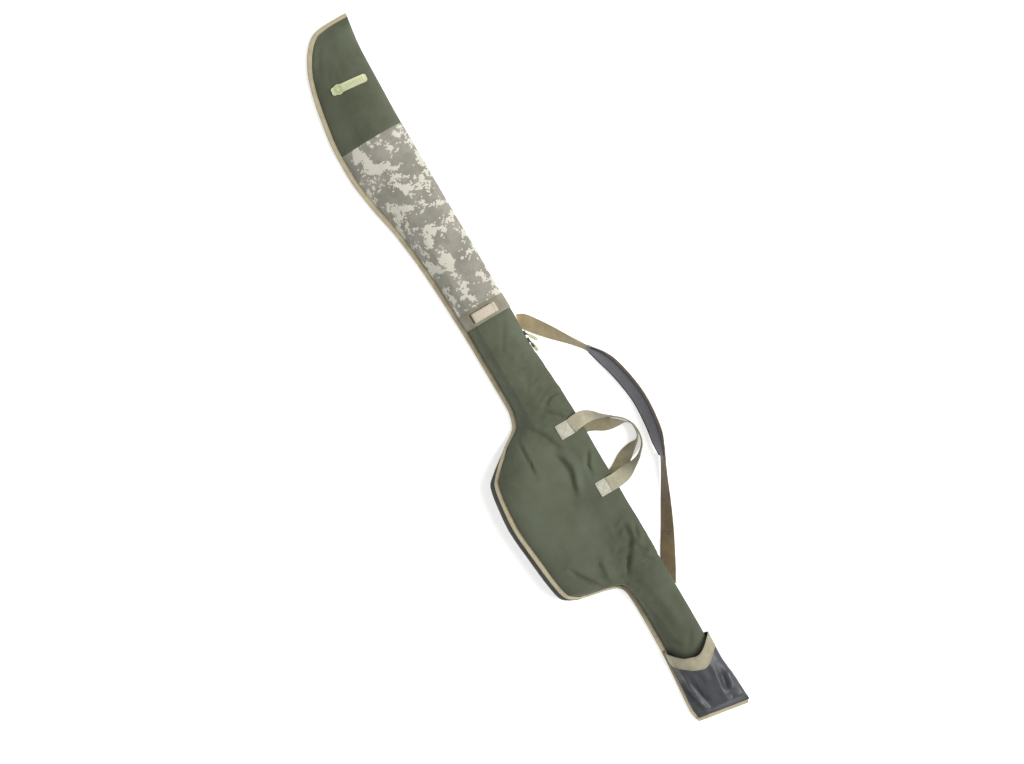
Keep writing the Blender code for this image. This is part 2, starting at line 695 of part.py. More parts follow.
def make_shoulder_strap():
    for which, x in zip(("upper", "lower"), STRAP_ENDS_X):
        bar(f"strap_{which}_end", x - WEBBING / 2, x + WEBBING / 2, SEWN_Y, SEWN_Z, "strap")
    z = STRAP_AXIS_Z - WEB_THICK / 2
    axis = (STRAP_ENDS_X[0], STRAP_AXIS_Y, STRAP_AXIS_Z)
    start_y = STRAP_AXIS_Y - 0.4
    upper = [
        (STRAP_ENDS_X[0], start_y, z, 0), (108, -72, 2.8, -2), (84, -96, 8, -14), (50, -124, 14, -36),
        (14, -150, 19, -62), (-24, -174, 21.5, -80),
    ]
    pad = [
        (-26, -176, 27, -72), (-70, -199, 29.5, -66), (-128, -219, 29.5, -62), (-200, -230, 29.5, -62),
        (-270, -226, 29.5, -64), (-330, -212, 29.5, -68), (-362, -201, 27, -76),
    ]
    lower = [
        (-364, -198, 21.5, -80), (-410, -176, 20.5, -70), (-460, -151, 17.5, -52), (-519, -121, 13, -34),
        (-566, -97, 7, -16), (-594, -78, 3, -4), (STRAP_ENDS_X[1], start_y, z, 0),
    ]
    ribbon(
        "strap_upper_webbing", upper, WEBBING, WEB_THICK, "strap", axis, 16,
        flat_ends=(True, False), most_y=start_y,
    )
    ribbon("shoulder_pad", pad, pad_width, 7.0, "pad", axis, 24, shift=2.0)
    ribbon("pad_webbing", pad, WEBBING, WEB_THICK, "strap", axis, 20, shift=-2.8)
    ribbon(
        "strap_lower_webbing", lower, WEBBING, WEB_THICK, "strap", axis, 18,
        flat_ends=(False, True), most_y=start_y,
    )


def main():
    for old in list(bpy.data.objects):
        bpy.data.objects.remove(old)
    make_back()
    make_zip_wall()
    make_front()
    make_bands()
    make_gusset()
    make_bindings()
    make_pocket()
    make_zip()
    for which in SLIDER_X:
        make_slider(which)
        make_puller(which)
    make_front_handle()
    make_back_handle()
    make_shoulder_strap()


main()
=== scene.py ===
"""Looks for the rod case: cloth, webbing, bindings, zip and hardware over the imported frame.

Shapes are worked out in millimetres, as in the part, and become metres when a mesh is made.
"""

import bisect
import math

import bpy
import numpy as np
from mathutils import Matrix, Vector, noise


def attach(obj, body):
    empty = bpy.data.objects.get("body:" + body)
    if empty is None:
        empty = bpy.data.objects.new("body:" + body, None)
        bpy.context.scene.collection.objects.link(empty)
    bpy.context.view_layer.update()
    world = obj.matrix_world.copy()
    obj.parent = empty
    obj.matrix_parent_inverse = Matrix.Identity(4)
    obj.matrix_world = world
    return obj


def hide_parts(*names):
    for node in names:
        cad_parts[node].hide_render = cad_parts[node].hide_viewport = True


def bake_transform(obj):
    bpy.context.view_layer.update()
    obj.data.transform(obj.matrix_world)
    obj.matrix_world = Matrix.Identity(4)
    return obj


MM = 0.001
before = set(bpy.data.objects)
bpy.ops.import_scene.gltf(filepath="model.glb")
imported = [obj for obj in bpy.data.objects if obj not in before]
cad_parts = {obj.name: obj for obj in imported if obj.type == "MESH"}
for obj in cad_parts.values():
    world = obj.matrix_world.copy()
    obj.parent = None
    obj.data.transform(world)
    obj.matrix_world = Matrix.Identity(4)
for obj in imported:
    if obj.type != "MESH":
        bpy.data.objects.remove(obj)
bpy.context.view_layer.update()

TIP_X, HOOD_X, BAND_X = 993.0, 689.0, (155.0, 196.0)
FLAP_END_X, BOOT_X, BUTT_X = -560.0, -786.0, -992.0
CORNER_SKEW, CORNER_START_X = 0.17, -940.0
SEAM_LOW, GUSSET_TOP, GUSSET_INSET = 8.6, 68.0, 14.0
HINGE_Y, HINGE_Z = 36.0, 54.0
ZIP_Y, ZIP_EDGE_Y, WALL_TOP, COVER_EDGE_Z = -54.0, -57.5, 24.0, 36.2
WEBBING = 38.0


def curve_through(*points):
    """A smooth curve y(x) through the points, which never swings past them."""
    xs = [x for x, _ in points]
    ys = [y for _, y in points]
    rises = [(ys[i + 1] - ys[i]) / (xs[i + 1] - xs[i]) for i in range(len(xs) - 1)]
    slopes = [rises[0]]
    for before, after in zip(rises, rises[1:]):
        level = before * after <= 0
        slopes.append(0.0 if level else 2 * before * after / (before + after))
    slopes.append(rises[-1])

    def value(x):
        x = min(max(x, xs[0]), xs[-1])
        i = min(bisect.bisect_right(xs, x) - 1, len(xs) - 2)
        span = xs[i + 1] - xs[i]
        t = (x - xs[i]) / span
        start = ys[i] * (1 + 2 * t) * (1 - t) ** 2 + slopes[i] * span * t * (1 - t) ** 2
        end = ys[i + 1] * t * t * (3 - 2 * t) + slopes[i + 1] * span * t * t * (t - 1)
        return start + end

    return value


outline = curve_through(
    (-1000, 56), (-950, 62), (-860, 55), (-760, 48), (-660, 46), (-606, 49), (-584, 62), (-572, 100),
    (-556, 172), (-536, 202), (-500, 211), (-410, 221), (-330, 227), (-250, 220), (-208, 211), (-186, 190),
    (-150, 143), (-106, 86), (-60, 75), (100, 75), (220, 78), (340, 84), (450, 96), (550, 115), (640, 125),
    (700, 124), (800, 111), (895, 88), (950, 60), (994, 22),
)
zip_side = curve_through(
    (-1000, -79), (-950, -75), (-860, -66), (-720, -67), (-600, -68), (-500, -69), (-200, -69), (-100, -67),
    (0, -62), (150, -60), (700, -59), (800, -62), (900, -65), (994, -76),
)
zip_seam = curve_through(
    (-1000, -72), (-900, -61), (-700, ZIP_EDGE_Y), (FLAP_END_X, ZIP_EDGE_Y), (HOOD_X, ZIP_EDGE_Y),
    (800, -59), (900, -61), (994, -71),
)
pouch_height = curve_through(
    (-1000, SEAM_LOW), (-598, SEAM_LOW), (-574, 34), (-540, GUSSET_TOP), (-225, GUSSET_TOP), (-165, 42),
    (-108, SEAM_LOW), (994, SEAM_LOW),
)
fold_y = curve_through(
    (-1000, -10), (-720, 8), (FLAP_END_X, HINGE_Y), (HOOD_X, HINGE_Y), (860, 18), (994, -26)
)
fold_z = curve_through(
    (-1000, 30), (-900, 42), (-760, 50), (FLAP_END_X, HINGE_Z), (HOOD_X, HINGE_Z), (860, 44), (994, 23)
)
wall_top = curve_through((-1000, 14), (-900, WALL_TOP), (HOOD_X, WALL_TOP), (860, 18), (994, 9.5))


def pouch(x):
    """How far the seam has risen onto the reel pouch, from 0 on the sleeve to 1."""
    return (pouch_height(x) - SEAM_LOW) / (GUSSET_TOP - SEAM_LOW)


def back_edge(x):
    return outline(x) - 3.3


def front_edge(x):
    rise = min(max((pouch_height(x) - 26) / 34, 0), 1)
    return back_edge(x) - GUSSET_INSET * rise


def bezier(corners, t):
    """A point of a cubic curve in (y, z), with the unit vector that points outwards from the case."""
    a, b, c, d = corners
    s = 1 - t
    y = a[0] * s**3 + b[0] * 3 * t * s * s + c[0] * 3 * t * t * s + d[0] * t**3
    z = a[1] * s**3 + b[1] * 3 * t * s * s + c[1] * 3 * t * t * s + d[1] * t**3
    dy = (b[0] - a[0]) * s * s + (c[0] - b[0]) * 2 * t * s + (d[0] - c[0]) * t * t
    dz = (b[1] - a[1]) * s * s + (c[1] - b[1]) * 2 * t * s + (d[1] - c[1]) * t * t
    size = math.hypot(dy, dz) or 1.0
    return y, z, dz / size, -dy / size


def pouch_arc(x):
    """The front from the fold line to the seam on the pouch side."""
    y0, high, low, up = fold_y(x), fold_z(x), pouch_height(x), pouch(x)
    width = front_edge(x) - y0
    lean = -0.14 * width * (1 - up) + 30 * up
    crest = low + (1 - up) * 0.62 * (high - low) + up * 34
    slack = 0.16 * width * (1 - up)
    return (
        (y0, high),
        (y0 + 0.35 * width, high + lean),
        (front_edge(x) - slack, crest - 0.2 * (crest - low) * (1 - up)),
        (front_edge(x), low),
    )


def zip_arc(x, end_z):
    """The front from the fold line to the zip side."""
    high, side = fold_z(x), zip_side(x)
    reach = fold_y(x) - zip_seam(x)
    swell = 0.13 * reach * (1 - 0.5 * pouch(x))
    outer = zip_seam(x) - 18.5 + 2.9 * (side + 59.5 + (ZIP_EDGE_Y - zip_seam(x)))
    return (
        (fold_y(x), high),
        (fold_y(x) - 0.38 * reach, high + swell),
        (outer, high + 0.6 * swell),
        (zip_seam(x), end_z),
    )


def zip_end(x):
    """Height of the front's free edge over the zip."""
    return COVER_EDGE_Z if FLAP_END_X < x < HOOD_X else wall_top(x) + 0.6


def skewed(x, y):
    """x with the butt end's slanted hem: the hem runs forward towards the pouch side."""
    share = min(max((CORNER_START_X - x) / (CORNER_START_X - BUTT_X), 0), 1)
    return x + CORNER_SKEW * (y + 80) * share


def front_point(x, s):
    """The front's outer face: s runs from -1 at the pouch seam over 0 at the fold to 1 at the zip."""
    if s < 0:
        y, z, ny, nz = bezier(pouch_arc(x), -s)
        ny, nz = -ny, -nz
    else:
        y, z, ny, nz = bezier(zip_arc(x, zip_end(x)), s)
    return Vector((skewed(x, y), y, z)), Vector((0, ny, nz))


def height_over(x, y):
    """Height of the front's outer face over the point (x, y)."""
    arc = pouch_arc(x) if y > fold_y(x) else zip_arc(x, zip_end(x))
    sign = 1 if y > fold_y(x) else -1
    low, high = 0.0, 0.9 if sign > 0 else 0.72
    for _ in range(24):
        middle = (low + high) / 2
        if sign * (bezier(arc, middle)[0] - y) < 0:
            low = middle
        else:
            high = middle
    return bezier(arc, low)[1]


# The studio is brighter than 1, so that its floor is white.
STUDIO = 0.6


def new_material(name, roughness=0.8, metallic=0.0, sheen=0.0, specular=0.3):
    made = bpy.data.materials.new(name)
    made.use_nodes = True
    tree = made.node_tree
    shader = tree.nodes["Principled BSDF"]
    shader.inputs["Roughness"].default_value = roughness
    shader.inputs["Metallic"].default_value = metallic
    shader.inputs["Specular IOR Level"].default_value = specular
    if sheen:
        shader.inputs["Sheen Weight"].default_value = sheen
        shader.inputs["Sheen Roughness"].default_value = 0.5
    return made, tree, shader


def node(tree, kind, **settings):
    made = tree.nodes.new(kind)
    for key, value in settings.items():
        if key in made.inputs and not hasattr(type(made), key):
            made.inputs[key].default_value = value
        else:
            setattr(made, key, value)
    return made


def maths(tree, operation, a, b=None, c=None):
    made = tree.nodes.new("ShaderNodeMath")
    made.operation = operation
    for i, value in enumerate((a, b, c)):
        if value is None:
            continue
        if isinstance(value, (int, float)):
            made.inputs[i].default_value = value
        else:
            tree.links.new(value, made.inputs[i])
    return made.outputs[0]


def object_place(tree):
    return tree.nodes.new("ShaderNodeTexCoord").outputs["Object"]


def lay_place(tree):
    made = tree.nodes.new("ShaderNodeAttribute")
    made.attribute_name = "lay"
    return made.outputs["Vector"]


def noise_of(tree, place, scale, detail=3.0, roughness=0.55, stretch=None):
    """Noise with features about 1 / scale metres across."""
    if stretch:
        mapping = tree.nodes.new("ShaderNodeMapping")
        mapping.inputs["Scale"].default_value = stretch
        tree.links.new(place, mapping.inputs["Vector"])
        place = mapping.outputs[0]
    made = tree.nodes.new("ShaderNodeTexNoise")
    made.inputs["Scale"].default_value = scale
    made.inputs["Detail"].default_value = detail
    made.inputs["Roughness"].default_value = roughness
    tree.links.new(place, made.inputs["Vector"])
    return made.outputs["Fac"]


def mixed(tree, factor, a, b, blend="MIX"):
    """A colour between a and b, each a colour or a socket."""
    made = tree.nodes.new("ShaderNodeMix")
    made.data_type = "RGBA"
    made.blend_type = blend
    slots = {"factor": made.inputs[0], "a": made.inputs[6], "b": made.inputs[7]}
    for key, value in (("factor", factor), ("a", a), ("b", b)):
        if isinstance(value, (int, float)):
            slots[key].default_value = value
        elif isinstance(value, tuple):
            slots[key].default_value = (*value, 1)
        else:
            tree.links.new(value, slots[key])
    return made.outputs[2]


def spread(tree, value, low, high, to_low=0.0, to_high=1.0):
    made = tree.nodes.new("ShaderNodeMapRange")
    for i, number in enumerate((low, high, to_low, to_high)):
        made.inputs[i + 1].default_value = number
    tree.links.new(value, made.inputs[0])
    return made.outputs[0]


def bumped(tree, shader, height, distance, strength=1.0):
    made = tree.nodes.new("ShaderNodeBump")
    made.inputs["Strength"].default_value = strength
    made.inputs["Distance"].default_value = distance
    tree.links.new(height, made.inputs["Height"])
    tree.links.new(made.outputs[0], shader.inputs["Normal"])


def sine(tree, place, axis, period):
    """A wave in -1..1 along one axis of a place, with its period in metres."""
    split = tree.nodes.new("ShaderNodeSeparateXYZ")
    tree.links.new(place, split.inputs[0])
    return maths(tree, "SINE", maths(tree, "MULTIPLY", split.outputs[axis], 2 * math.pi / period))


def weave(tree, place, period, axes=(0, 1)):
    """Over-and-under threads along two axes."""
    return maths(tree, "MULTIPLY", sine(tree, place, axes[0], period), sine(tree, place, axes[1], period))


def srgb(r, g, b):
    """The reflectance that looks like this screen colour under the studio's light."""
    return tuple(STUDIO * ((v / 255 + 0.055) / 1.055) ** 2.4 for v in (r, g, b))


def polyester(name, light, dark, roughness=0.62, sheen=0.04):
    """Coated woven polyester: a fine weave, thread-to-thread variation, and painted shade darkening it towards the
    butt end.
    """
    made, tree, shader = new_material(name, roughness, sheen=sheen, specular=0.15)
    place = object_place(tree)
    large = spread(tree, noise_of(tree, place, 9), 0.3, 0.7)
    colour = mixed(tree, large, dark, light)
    threads = noise_of(tree, place, 900, 1, stretch=(1, 0.15, 1))
    colour = mixed(tree, spread(tree, threads, 0.3, 0.7, 0.0, 0.18), colour, tuple(v * 1.5 for v in light))
    along = node(tree, "ShaderNodeSeparateXYZ")
    tree.links.new(place, along.inputs[0])
    # Painted shade: the colour darkens from the middle towards the butt end, standing in for the light falling off
    # there.
    wear_and_painted_shade = spread(tree, along.outputs[0], -0.55, 0.0, 0.30, 0.0)
    colour = mixed(tree, wear_and_painted_shade, colour, tuple(v * 0.35 for v in dark))
    tree.links.new(colour, shader.inputs["Base Color"])
    rough = spread(tree, noise_of(tree, place, 30), 0.3, 0.7, roughness - 0.07, roughness + 0.1)
    tree.links.new(rough, shader.inputs["Roughness"])
    height = maths(tree, "ADD", weave(tree, place, 0.0012), maths(tree, "MULTIPLY", threads, 0.8))
    bumped(tree, shader, height, 0.00012, 0.6)
    return made


def digital_camo(name):
    """Printed squares about 4 mm across in warm grey, green grey and cream."""
    made, tree, shader = new_material(name, 0.7, sheen=0.2)
    place = lay_place(tree)
    snap = node(tree, "ShaderNodeVectorMath", operation="SNAP")
    snap.inputs[1].default_value = (0.0034, 0.0042, 1.0)
    tree.links.new(place, snap.inputs[0])
    cells = snap.outputs[0]

    def blotch(scale, seed, stretch, detail=3.0, roughness=0.62):
        moved = node(tree, "ShaderNodeVectorMath", operation="ADD")
        moved.inputs[1].default_value = (seed, seed * 0.7, 0.5)
        tree.links.new(cells, moved.inputs[0])
        return noise_of(tree, moved.outputs[0], scale, detail, roughness, stretch)

    warm, cool, cream = srgb(190, 183, 170), srgb(168, 168, 152), srgb(252, 248, 230)
    shade = spread(tree, blotch(18, 3.1, (1, 0.8, 1)), 0.4, 0.6)
    colour = mixed(tree, shade, cool, warm)
    steps = maths(tree, "GREATER_THAN", blotch(24, 7.3, (1, 0.7, 1)), 0.56)
    colour = mixed(tree, maths(tree, "MULTIPLY", steps, 0.5), colour, srgb(164, 155, 144))
    pale = maths(tree, "GREATER_THAN", blotch(24, 1.9, (1, 0.72, 1), 6.0, 0.74), 0.525)
    colour = mixed(tree, pale, colour, cream)
    soft = spread(tree, noise_of(tree, place, 12), 0.3, 0.7, 0.0, 0.12)
    colour = mixed(tree, soft, colour, srgb(120, 118, 105))
    tree.links.new(colour, shader.inputs["Base Color"])
    bumped(tree, shader, weave(tree, place, 0.0012), 0.00012, 0.6)
    return made


def coated_pvc(name, light, dark):
    made, tree, shader = new_material(name, 0.38, specular=0.5)
    place = object_place(tree)
    colour = mixed(tree, spread(tree, noise_of(tree, place, 14), 0.3, 0.7), dark, light)
    tree.links.new(colour, shader.inputs["Base Color"])
    grain = noise_of(tree, place, 1400, 2)
    dents = noise_of(tree, place, 60, 3)
    height = maths(tree, "ADD", maths(tree, "MULTIPLY", grain, 0.15), dents)
    rough = spread(tree, noise_of(tree, place, 45), 0.3, 0.7, 0.42, 0.58)
    tree.links.new(rough, shader.inputs["Roughness"])
    bumped(tree, shader, height, 0.0006, 0.5)
    return made


def webbing(name, light, dark, rib=0.0022, fine=0.0011, roughness=0.72, sheen=0.3):
    """Woven tape: ribs across its length, finer threads along it, and painted shade darkening the hollows between
    them.
    """
    made, tree, shader = new_material(name, roughness, sheen=sheen)
    lay = lay_place(tree)
    ribs, threads = sine(tree, lay, 0, rib), sine(tree, lay, 1, fine)
    height = maths(tree, "ADD", maths(tree, "MULTIPLY", ribs, 0.6), maths(tree, "MULTIPLY", threads, 0.4))
    # Painted shade: the hollows between ribs and threads are darker and the crests lighter.
    rib_shade = spread(tree, height, -0.9, 0.9, 0.15, 0.85)
    place = object_place(tree)
    # Random patches of wear; this noise paints no shade.
    wear_and_painted_shade = spread(tree, noise_of(tree, place, 40), 0.3, 0.7, -0.25, 0.25)
    colour = mixed(tree, maths(tree, "ADD", rib_shade, wear_and_painted_shade), dark, light)
    tree.links.new(colour, shader.inputs["Base Color"])
    fuzz = maths(tree, "ADD", height, maths(tree, "MULTIPLY", noise_of(tree, place, 1500, 1), 0.6))
    bumped(tree, shader, fuzz, 0.0003, 0.7)
    return made


def plain(name, light, dark, scale=60, roughness=0.6, metallic=0.0, bump=0.0002, sheen=0.0, fine=900,
          low=0.3):
    """Moulded, painted or fuzzy surfaces: mottled colour and a fine grain."""
    made, tree, shader = new_material(name, roughness, metallic, sheen)
    place = object_place(tree)
    colour = mixed(tree, spread(tree, noise_of(tree, place, scale), low, 1 - low), dark, light)
    tree.links.new(colour, shader.inputs["Base Color"])
    rough = spread(tree, noise_of(tree, place, scale * 2), 0.3, 0.7, roughness - 0.08, roughness + 0.08)
    tree.links.new(rough, shader.inputs["Roughness"])
    bumped(tree, shader, noise_of(tree, place, fine, 3), bump, 0.6)
    return made


MATERIALS = {
    "green": polyester("green_polyester_cloth", srgb(116, 123, 102), srgb(95, 99, 79)),
    "camo": digital_camo("digital_camo_cloth"),
    "pvc": coated_pvc("dark_pvc_coated", srgb(74, 77, 85), srgb(52, 54, 60)),
    "welt": polyester("zip_side_cloth", srgb(92, 97, 92), srgb(62, 66, 60)),
    "lining": polyester("brushed_lining", srgb(70, 76, 66), srgb(52, 57, 48), 0.85, 0.4),
    "band": webbing("cross_band_webbing", srgb(190, 182, 160), srgb(146, 138, 118), 0.0030, 0.0014),
    "binding": webbing("ribbed_binding_tape", srgb(236, 224, 190), srgb(184, 170, 132), 0.0016, 0.0028),
    "handle": webbing("handle_webbing_weave", srgb(255, 252, 236), srgb(206, 202, 178)),
    # Painted shade: both loops are the handle webbing darkened, the front loop a little and the back loop more, where
    # they turn from the light.
    "handle_loop": webbing("front_handle_webbing_painted_shade", srgb(226, 220, 190), srgb(172, 164, 134)),
    "handle_shade": webbing("back_handle_webbing_painted_shade", srgb(206, 196, 160), srgb(150, 138, 104)),
    "pad_edge": plain("pad_edge_tape", srgb(84, 84, 92), srgb(60, 60, 66), 300, 0.8),
    "strap": webbing("strap_webbing_weave", srgb(232, 214, 170), srgb(176, 156, 114)),
    # Painted shade: the lower strap webbing and its sewn end are the strap webbing darkened, as they face away from
    # the light.
    "strap_dark": webbing("strap_webbing_shade", srgb(158, 138, 100), srgb(108, 92, 62)),
    "pad": plain("pad_mesh_cloth", srgb(142, 142, 154), srgb(108, 108, 118), 500, 0.85, sheen=0.4, fine=700),
    "zip_tape": webbing("zip_tape_weave", srgb(74, 80, 76), srgb(44, 48, 44), 0.0009, 0.0012),
    "coil": plain("zip_coil_nylon", srgb(70, 74, 70), srgb(44, 47, 44), 200, 0.4),
    "metal": plain("dark_nickel_metal", srgb(150, 150, 152), srgb(92, 92, 96), 120, 0.32, 1.0, 0.00005),
    "binding_flat": webbing("pocket_band_tape", srgb(206, 200, 172), srgb(160, 152, 122), 0.0024, 0.0016),
    # Painted shade: the same green cloth darkened, for the pouch's side wall and the strip of front cloth by the pouch
    # seam, where shade falls.
    "gusset": polyester("gusset_polyester_painted_shade", srgb(62, 67, 51), srgb(42, 46, 34)),
    "badge_mark": plain("green_badge_mark", srgb(206, 214, 140), srgb(190, 200, 120), 40, 0.5),
    "rubber": plain("pale_green_rubber", srgb(250, 253, 214), srgb(236, 242, 188), 25, 0.45, bump=0.0001),
    "tab": plain("hook_and_loop_cream", srgb(250, 238, 216), srgb(230, 218, 194), 250, 0.9, sheen=0.5,
                 fine=1200),
    "hooks": plain("hook_and_loop_hooks", srgb(130, 118, 92), srgb(98, 88, 66), 700, 0.8, fine=1500),
    "pale_thread": plain("sewing_thread_pale", srgb(190, 180, 148), srgb(150, 138, 104), 500, 0.7),
    "foam": plain("cut_foam_edge", srgb(200, 200, 192), srgb(170, 170, 160), 300, 0.95),
}


# Where the cover's end pieces part from the panel: the y of the parting, BLEND_Y[1] along the middle and up to
# BLEND_Y[0] within END_FADE of the cover's two ends.
BLEND_Y = (46.0, 16.0)
END_FADE = 150.0
FLANGE = 9.0
COLUMNS, SPLIT = 72, 40
WELT_COLUMN, SHADE_COLUMN = 70, 3

# Grooves in the cloth: the course of each from above, its half width and its depth.
GROOVES = (
    (((140, -34), (62, 17)), 6, 0.8),
    (((14, 13), (10, -2), (2, -17)), 4, 1.5),
    (((-34, -15), (-30, -28), (-32, -37)), 4, 1.4),
    (((-103, -8), (-94, -22), (-87, -35), (-87, -50), (-90, -65)), 4.5, 3.0),
    (((-107, -8), (-128, -28), (-146, -50)), 4.5, -2.6),
    (((-114, 0), (-134, -20), (-152, -42)), 5, 2.0),
    (((-118, 67), (-142, 49), (-169, 31), (-233, 7)), 9, 3.2),
    (((-146, 92), (-182, 94), (-245, 95)), 5, 3.6),
    (((-211, 34), (-240, 26), (-277, 21), (-339, 42)), 10, 4.2),
    (((-218, 14), (-262, 0), (-322, 22)), 9, -2.6),
    (((-250, -47), (-283, -27), (-305, -26)), 5.5, 3.4),
    (((-440, -8), (-458, -6), (-458, -30), (-491, -27), (-565, 23)), 8, 3.2),
    (((-466, -54), (-501, -44)), 5, 2.6),
    (((-512, -30), (-520, -33), (-539, -54)), 5, 2.8),
    (((-542, -26), (-574, -56)), 5.5, 3.0),
    (((-484, 143), (-530, 114), (-557, 93)), 5, 4.4),
    (((-492, 69), (-537, 77), (-564, 75)), 7.5, 4.4),
    (((-520, -3), (-563, 26)), 6, 3.0),
    (((-592, 28), (-605, -15)), 6, -1.6),
    (((-575, 20), (-604, 4), (-648, -2)), 7, 1.8),
    (((-647, -17), (-716, -26), (-750, -25)), 14, -3.0),
    (((-754, 17), (-791, -1)), 7, 1.8),
    (((-764, -42), (-802, -14)), 7, 1.6),
    (((40, 60), (-40, 54), (-100, 60)), 12, 1.0),
    (((880, -20), (850, -50)), 7, 1.0),
    (((960, 20), (930, 40), (890, 60)), 9, 1.2),
    (((660, -50), (640, -20), (636, 10)), 7, 0.8),
    (((420, 90), (380, 60)), 7, 0.8),
)
# Places where the cloth is crumpled: centre, radius and depth.
CRUMPLES = ((-540, -30, 75, 4.6), (-90, -30, 90, 2.6), (10, -20, 90, 1.9), (-600, 0, 60, 2.4),
            (900, 0, 90, 1.0))


def groove_depth(xy, course, half, depth):
    """A groove along a course, with a low ridge on its left, fading out at both ends."""
    course = np.array(course, dtype=float)
    steps = course[1:] - course[:-1]
    sizes = np.hypot(*steps.T)
    total, walked = sizes.sum(), 0.0
    best = np.full(len(xy), 1e9)
    side, place = np.zeros(len(xy)), np.zeros(len(xy))
    for start, step, size in zip(course, steps, sizes):
        away = xy - start
        along = np.clip(away @ step / size**2, 0, 1)
        gap = np.hypot(*(away - along[:, None] * step).T)
        turn = np.sign(step[0] * away[:, 1] - step[1] * away[:, 0])
        nearer = gap < best
        best = np.where(nearer, gap, best)
        side = np.where(nearer, turn, side)
        place = np.where(nearer, (walked + along * size) / total, place)
        walked += size
    fade = np.clip(np.minimum(place, 1 - place) * 3.2 + 0.3, 0, 1)
    signed = best * side
    ridge = 0.5 * np.exp(-(((signed - 1.7 * half) / (1.2 * half)) ** 2))
    return 1.6 * depth * fade * (ridge - np.exp(-((best / half) ** 2)))


def fractal(points, scale, seed):
    """Smooth noise in -1..1 at points given in millimetres."""
    return np.array([noise.noise(Vector(p) / scale + Vector((seed, seed * 1.7, 0))) for p in points])


def relief(places):
    """How far the cloth stands out at places (x, y, z), in millimetres."""
    xy = places[:, :2]
    found = 2.2 * fractal(places, 95, 3) + 0.8 * fractal(places, 34, 8) + 0.16 * fractal(places, 11, 5)
    for x, y, radius, depth in CRUMPLES:
        near = np.exp(-(((xy[:, 0] - x) ** 2 + (xy[:, 1] - y) ** 2) / radius**2))
        sharp = 1 - 2 * np.abs(fractal(places, 26, x * 0.01)) - 0.3
        found += near * depth * sharp
    for groove in GROOVES:
        reach = np.array(groove[0], dtype=float)
        low, high = reach.min(0) - 45, reach.max(0) + 45
        close = np.all((xy > low) & (xy < high), axis=1)
        if close.any():
            found[close] += groove_depth(xy[close], *groove)
    return found


def finish_mesh(name, points, faces, slots, indices=None, layers=None, smooth=True):
    """A named object from points in millimetres; layers are named vectors per point, in millimetres."""
    mesh = bpy.data.meshes.new(name)
    mesh.from_pydata([tuple(float(v) * MM for v in point) for point in points], [], faces)
    for slot in slots:
        mesh.materials.append(MATERIALS[slot])
    if indices is not None:
        mesh.polygons.foreach_set("material_index", np.asarray(indices, dtype=np.int32))
    for key, values in (layers or {}).items():
        stored = mesh.attributes.new(key, "FLOAT_VECTOR", "POINT")
        stored.data.foreach_set("vector", (np.asarray(values, dtype=float) * MM).ravel())
    mesh.update()
    made = bpy.data.objects.new(name, mesh)
    bpy.context.scene.collection.objects.link(made)
    if smooth:
        mesh.shade_smooth()
    return made


def thick_sheet(name, outer, inner, slots, mask=None, sharp=40.0, slot_of=None):
    """A closed sheet between two grids of points; mask drops cells, and the rim closes what is left.

    slots are the outer face's, the inner face's and the rim's materials; slot_of can pick the outer one.
    """
    rows, columns = outer.shape[:2]
    if mask is None:
        mask = np.ones((rows - 1, columns - 1), dtype=bool)
    points = np.concatenate([outer.reshape(-1, 3), inner.reshape(-1, 3)])
    under = rows * columns
    faces, indices, edges = [], [], {}
    for i in range(rows - 1):
        for j in range(columns - 1):
            if not mask[i, j]:
                continue
            corner = [i * columns + j, (i + 1) * columns + j, (i + 1) * columns + j + 1, i * columns + j + 1]
            faces.append(corner)
            indices.append(slot_of(i, j) if slot_of else 0)
            faces.append([c + under for c in reversed(corner)])
            indices.append(1)
            for a, b in zip(corner, corner[1:] + corner[:1]):
                if (b, a) in edges:
                    del edges[(b, a)]
                else:
                    edges[(a, b)] = True
    for a, b in edges:
        faces.append([b, a, a + under, b + under])
        indices.append(2 if len(slots) > 2 else 0)
    used = sorted({v for face in faces for v in face})
    renumbered = {old: new for new, old in enumerate(used)}
    faces = [[renumbered[v] for v in face] for face in faces]
    made = finish_mesh(name, points[used], faces, slots, indices)
    flip_if_inside_out(made)
    made.data.set_sharp_from_angle(angle=math.radians(sharp))
    return made


def flip_if_inside_out(made):
    mesh = made.data
    places = np.empty(len(mesh.vertices) * 3)
    mesh.vertices.foreach_get("co", places)
    places = places.reshape(-1, 3)
    total = 0.0
    for face in mesh.polygons:
        a = places[face.vertices[0]]
        for j in range(1, len(face.vertices) - 1):
            total += a @ np.cross(places[face.vertices[j]], places[face.vertices[j + 1]])
    if total < 0:
        mesh.flip_normals()


def split_s(x):
    """The s of the column where the cover's end pieces part from the panel."""
    near = min(HOOD_X - x, x - FLAP_END_X)
    y = BLEND_Y[1] + (BLEND_Y[0] - BLEND_Y[1]) * min(max(1 - near / END_FADE, 0), 1)
    low, high = -0.6, 0.6
    for _ in range(24):
        middle = (low + high) / 2
        if front_point(x, middle)[0].y > y:
            low = middle
        else:
            high = middle
    return low


def column_s(x, j):
    parting = split_s(x)
    if j <= SPLIT:
        return -1 + (parting + 1) * j / SPLIT
    return parting + (1 - parting) * (j - SPLIT) / (COLUMNS - SPLIT)


def end_drop(x):
    """How flat the case is pressed at its sewn ends, 0 to 1."""
    tip, butt = (x - (TIP_X - 34)) / 34, (BUTT_X + 26 - x) / 26
    t = min(max(tip, butt, 0), 1)
    return t * t * (3 - 2 * t)


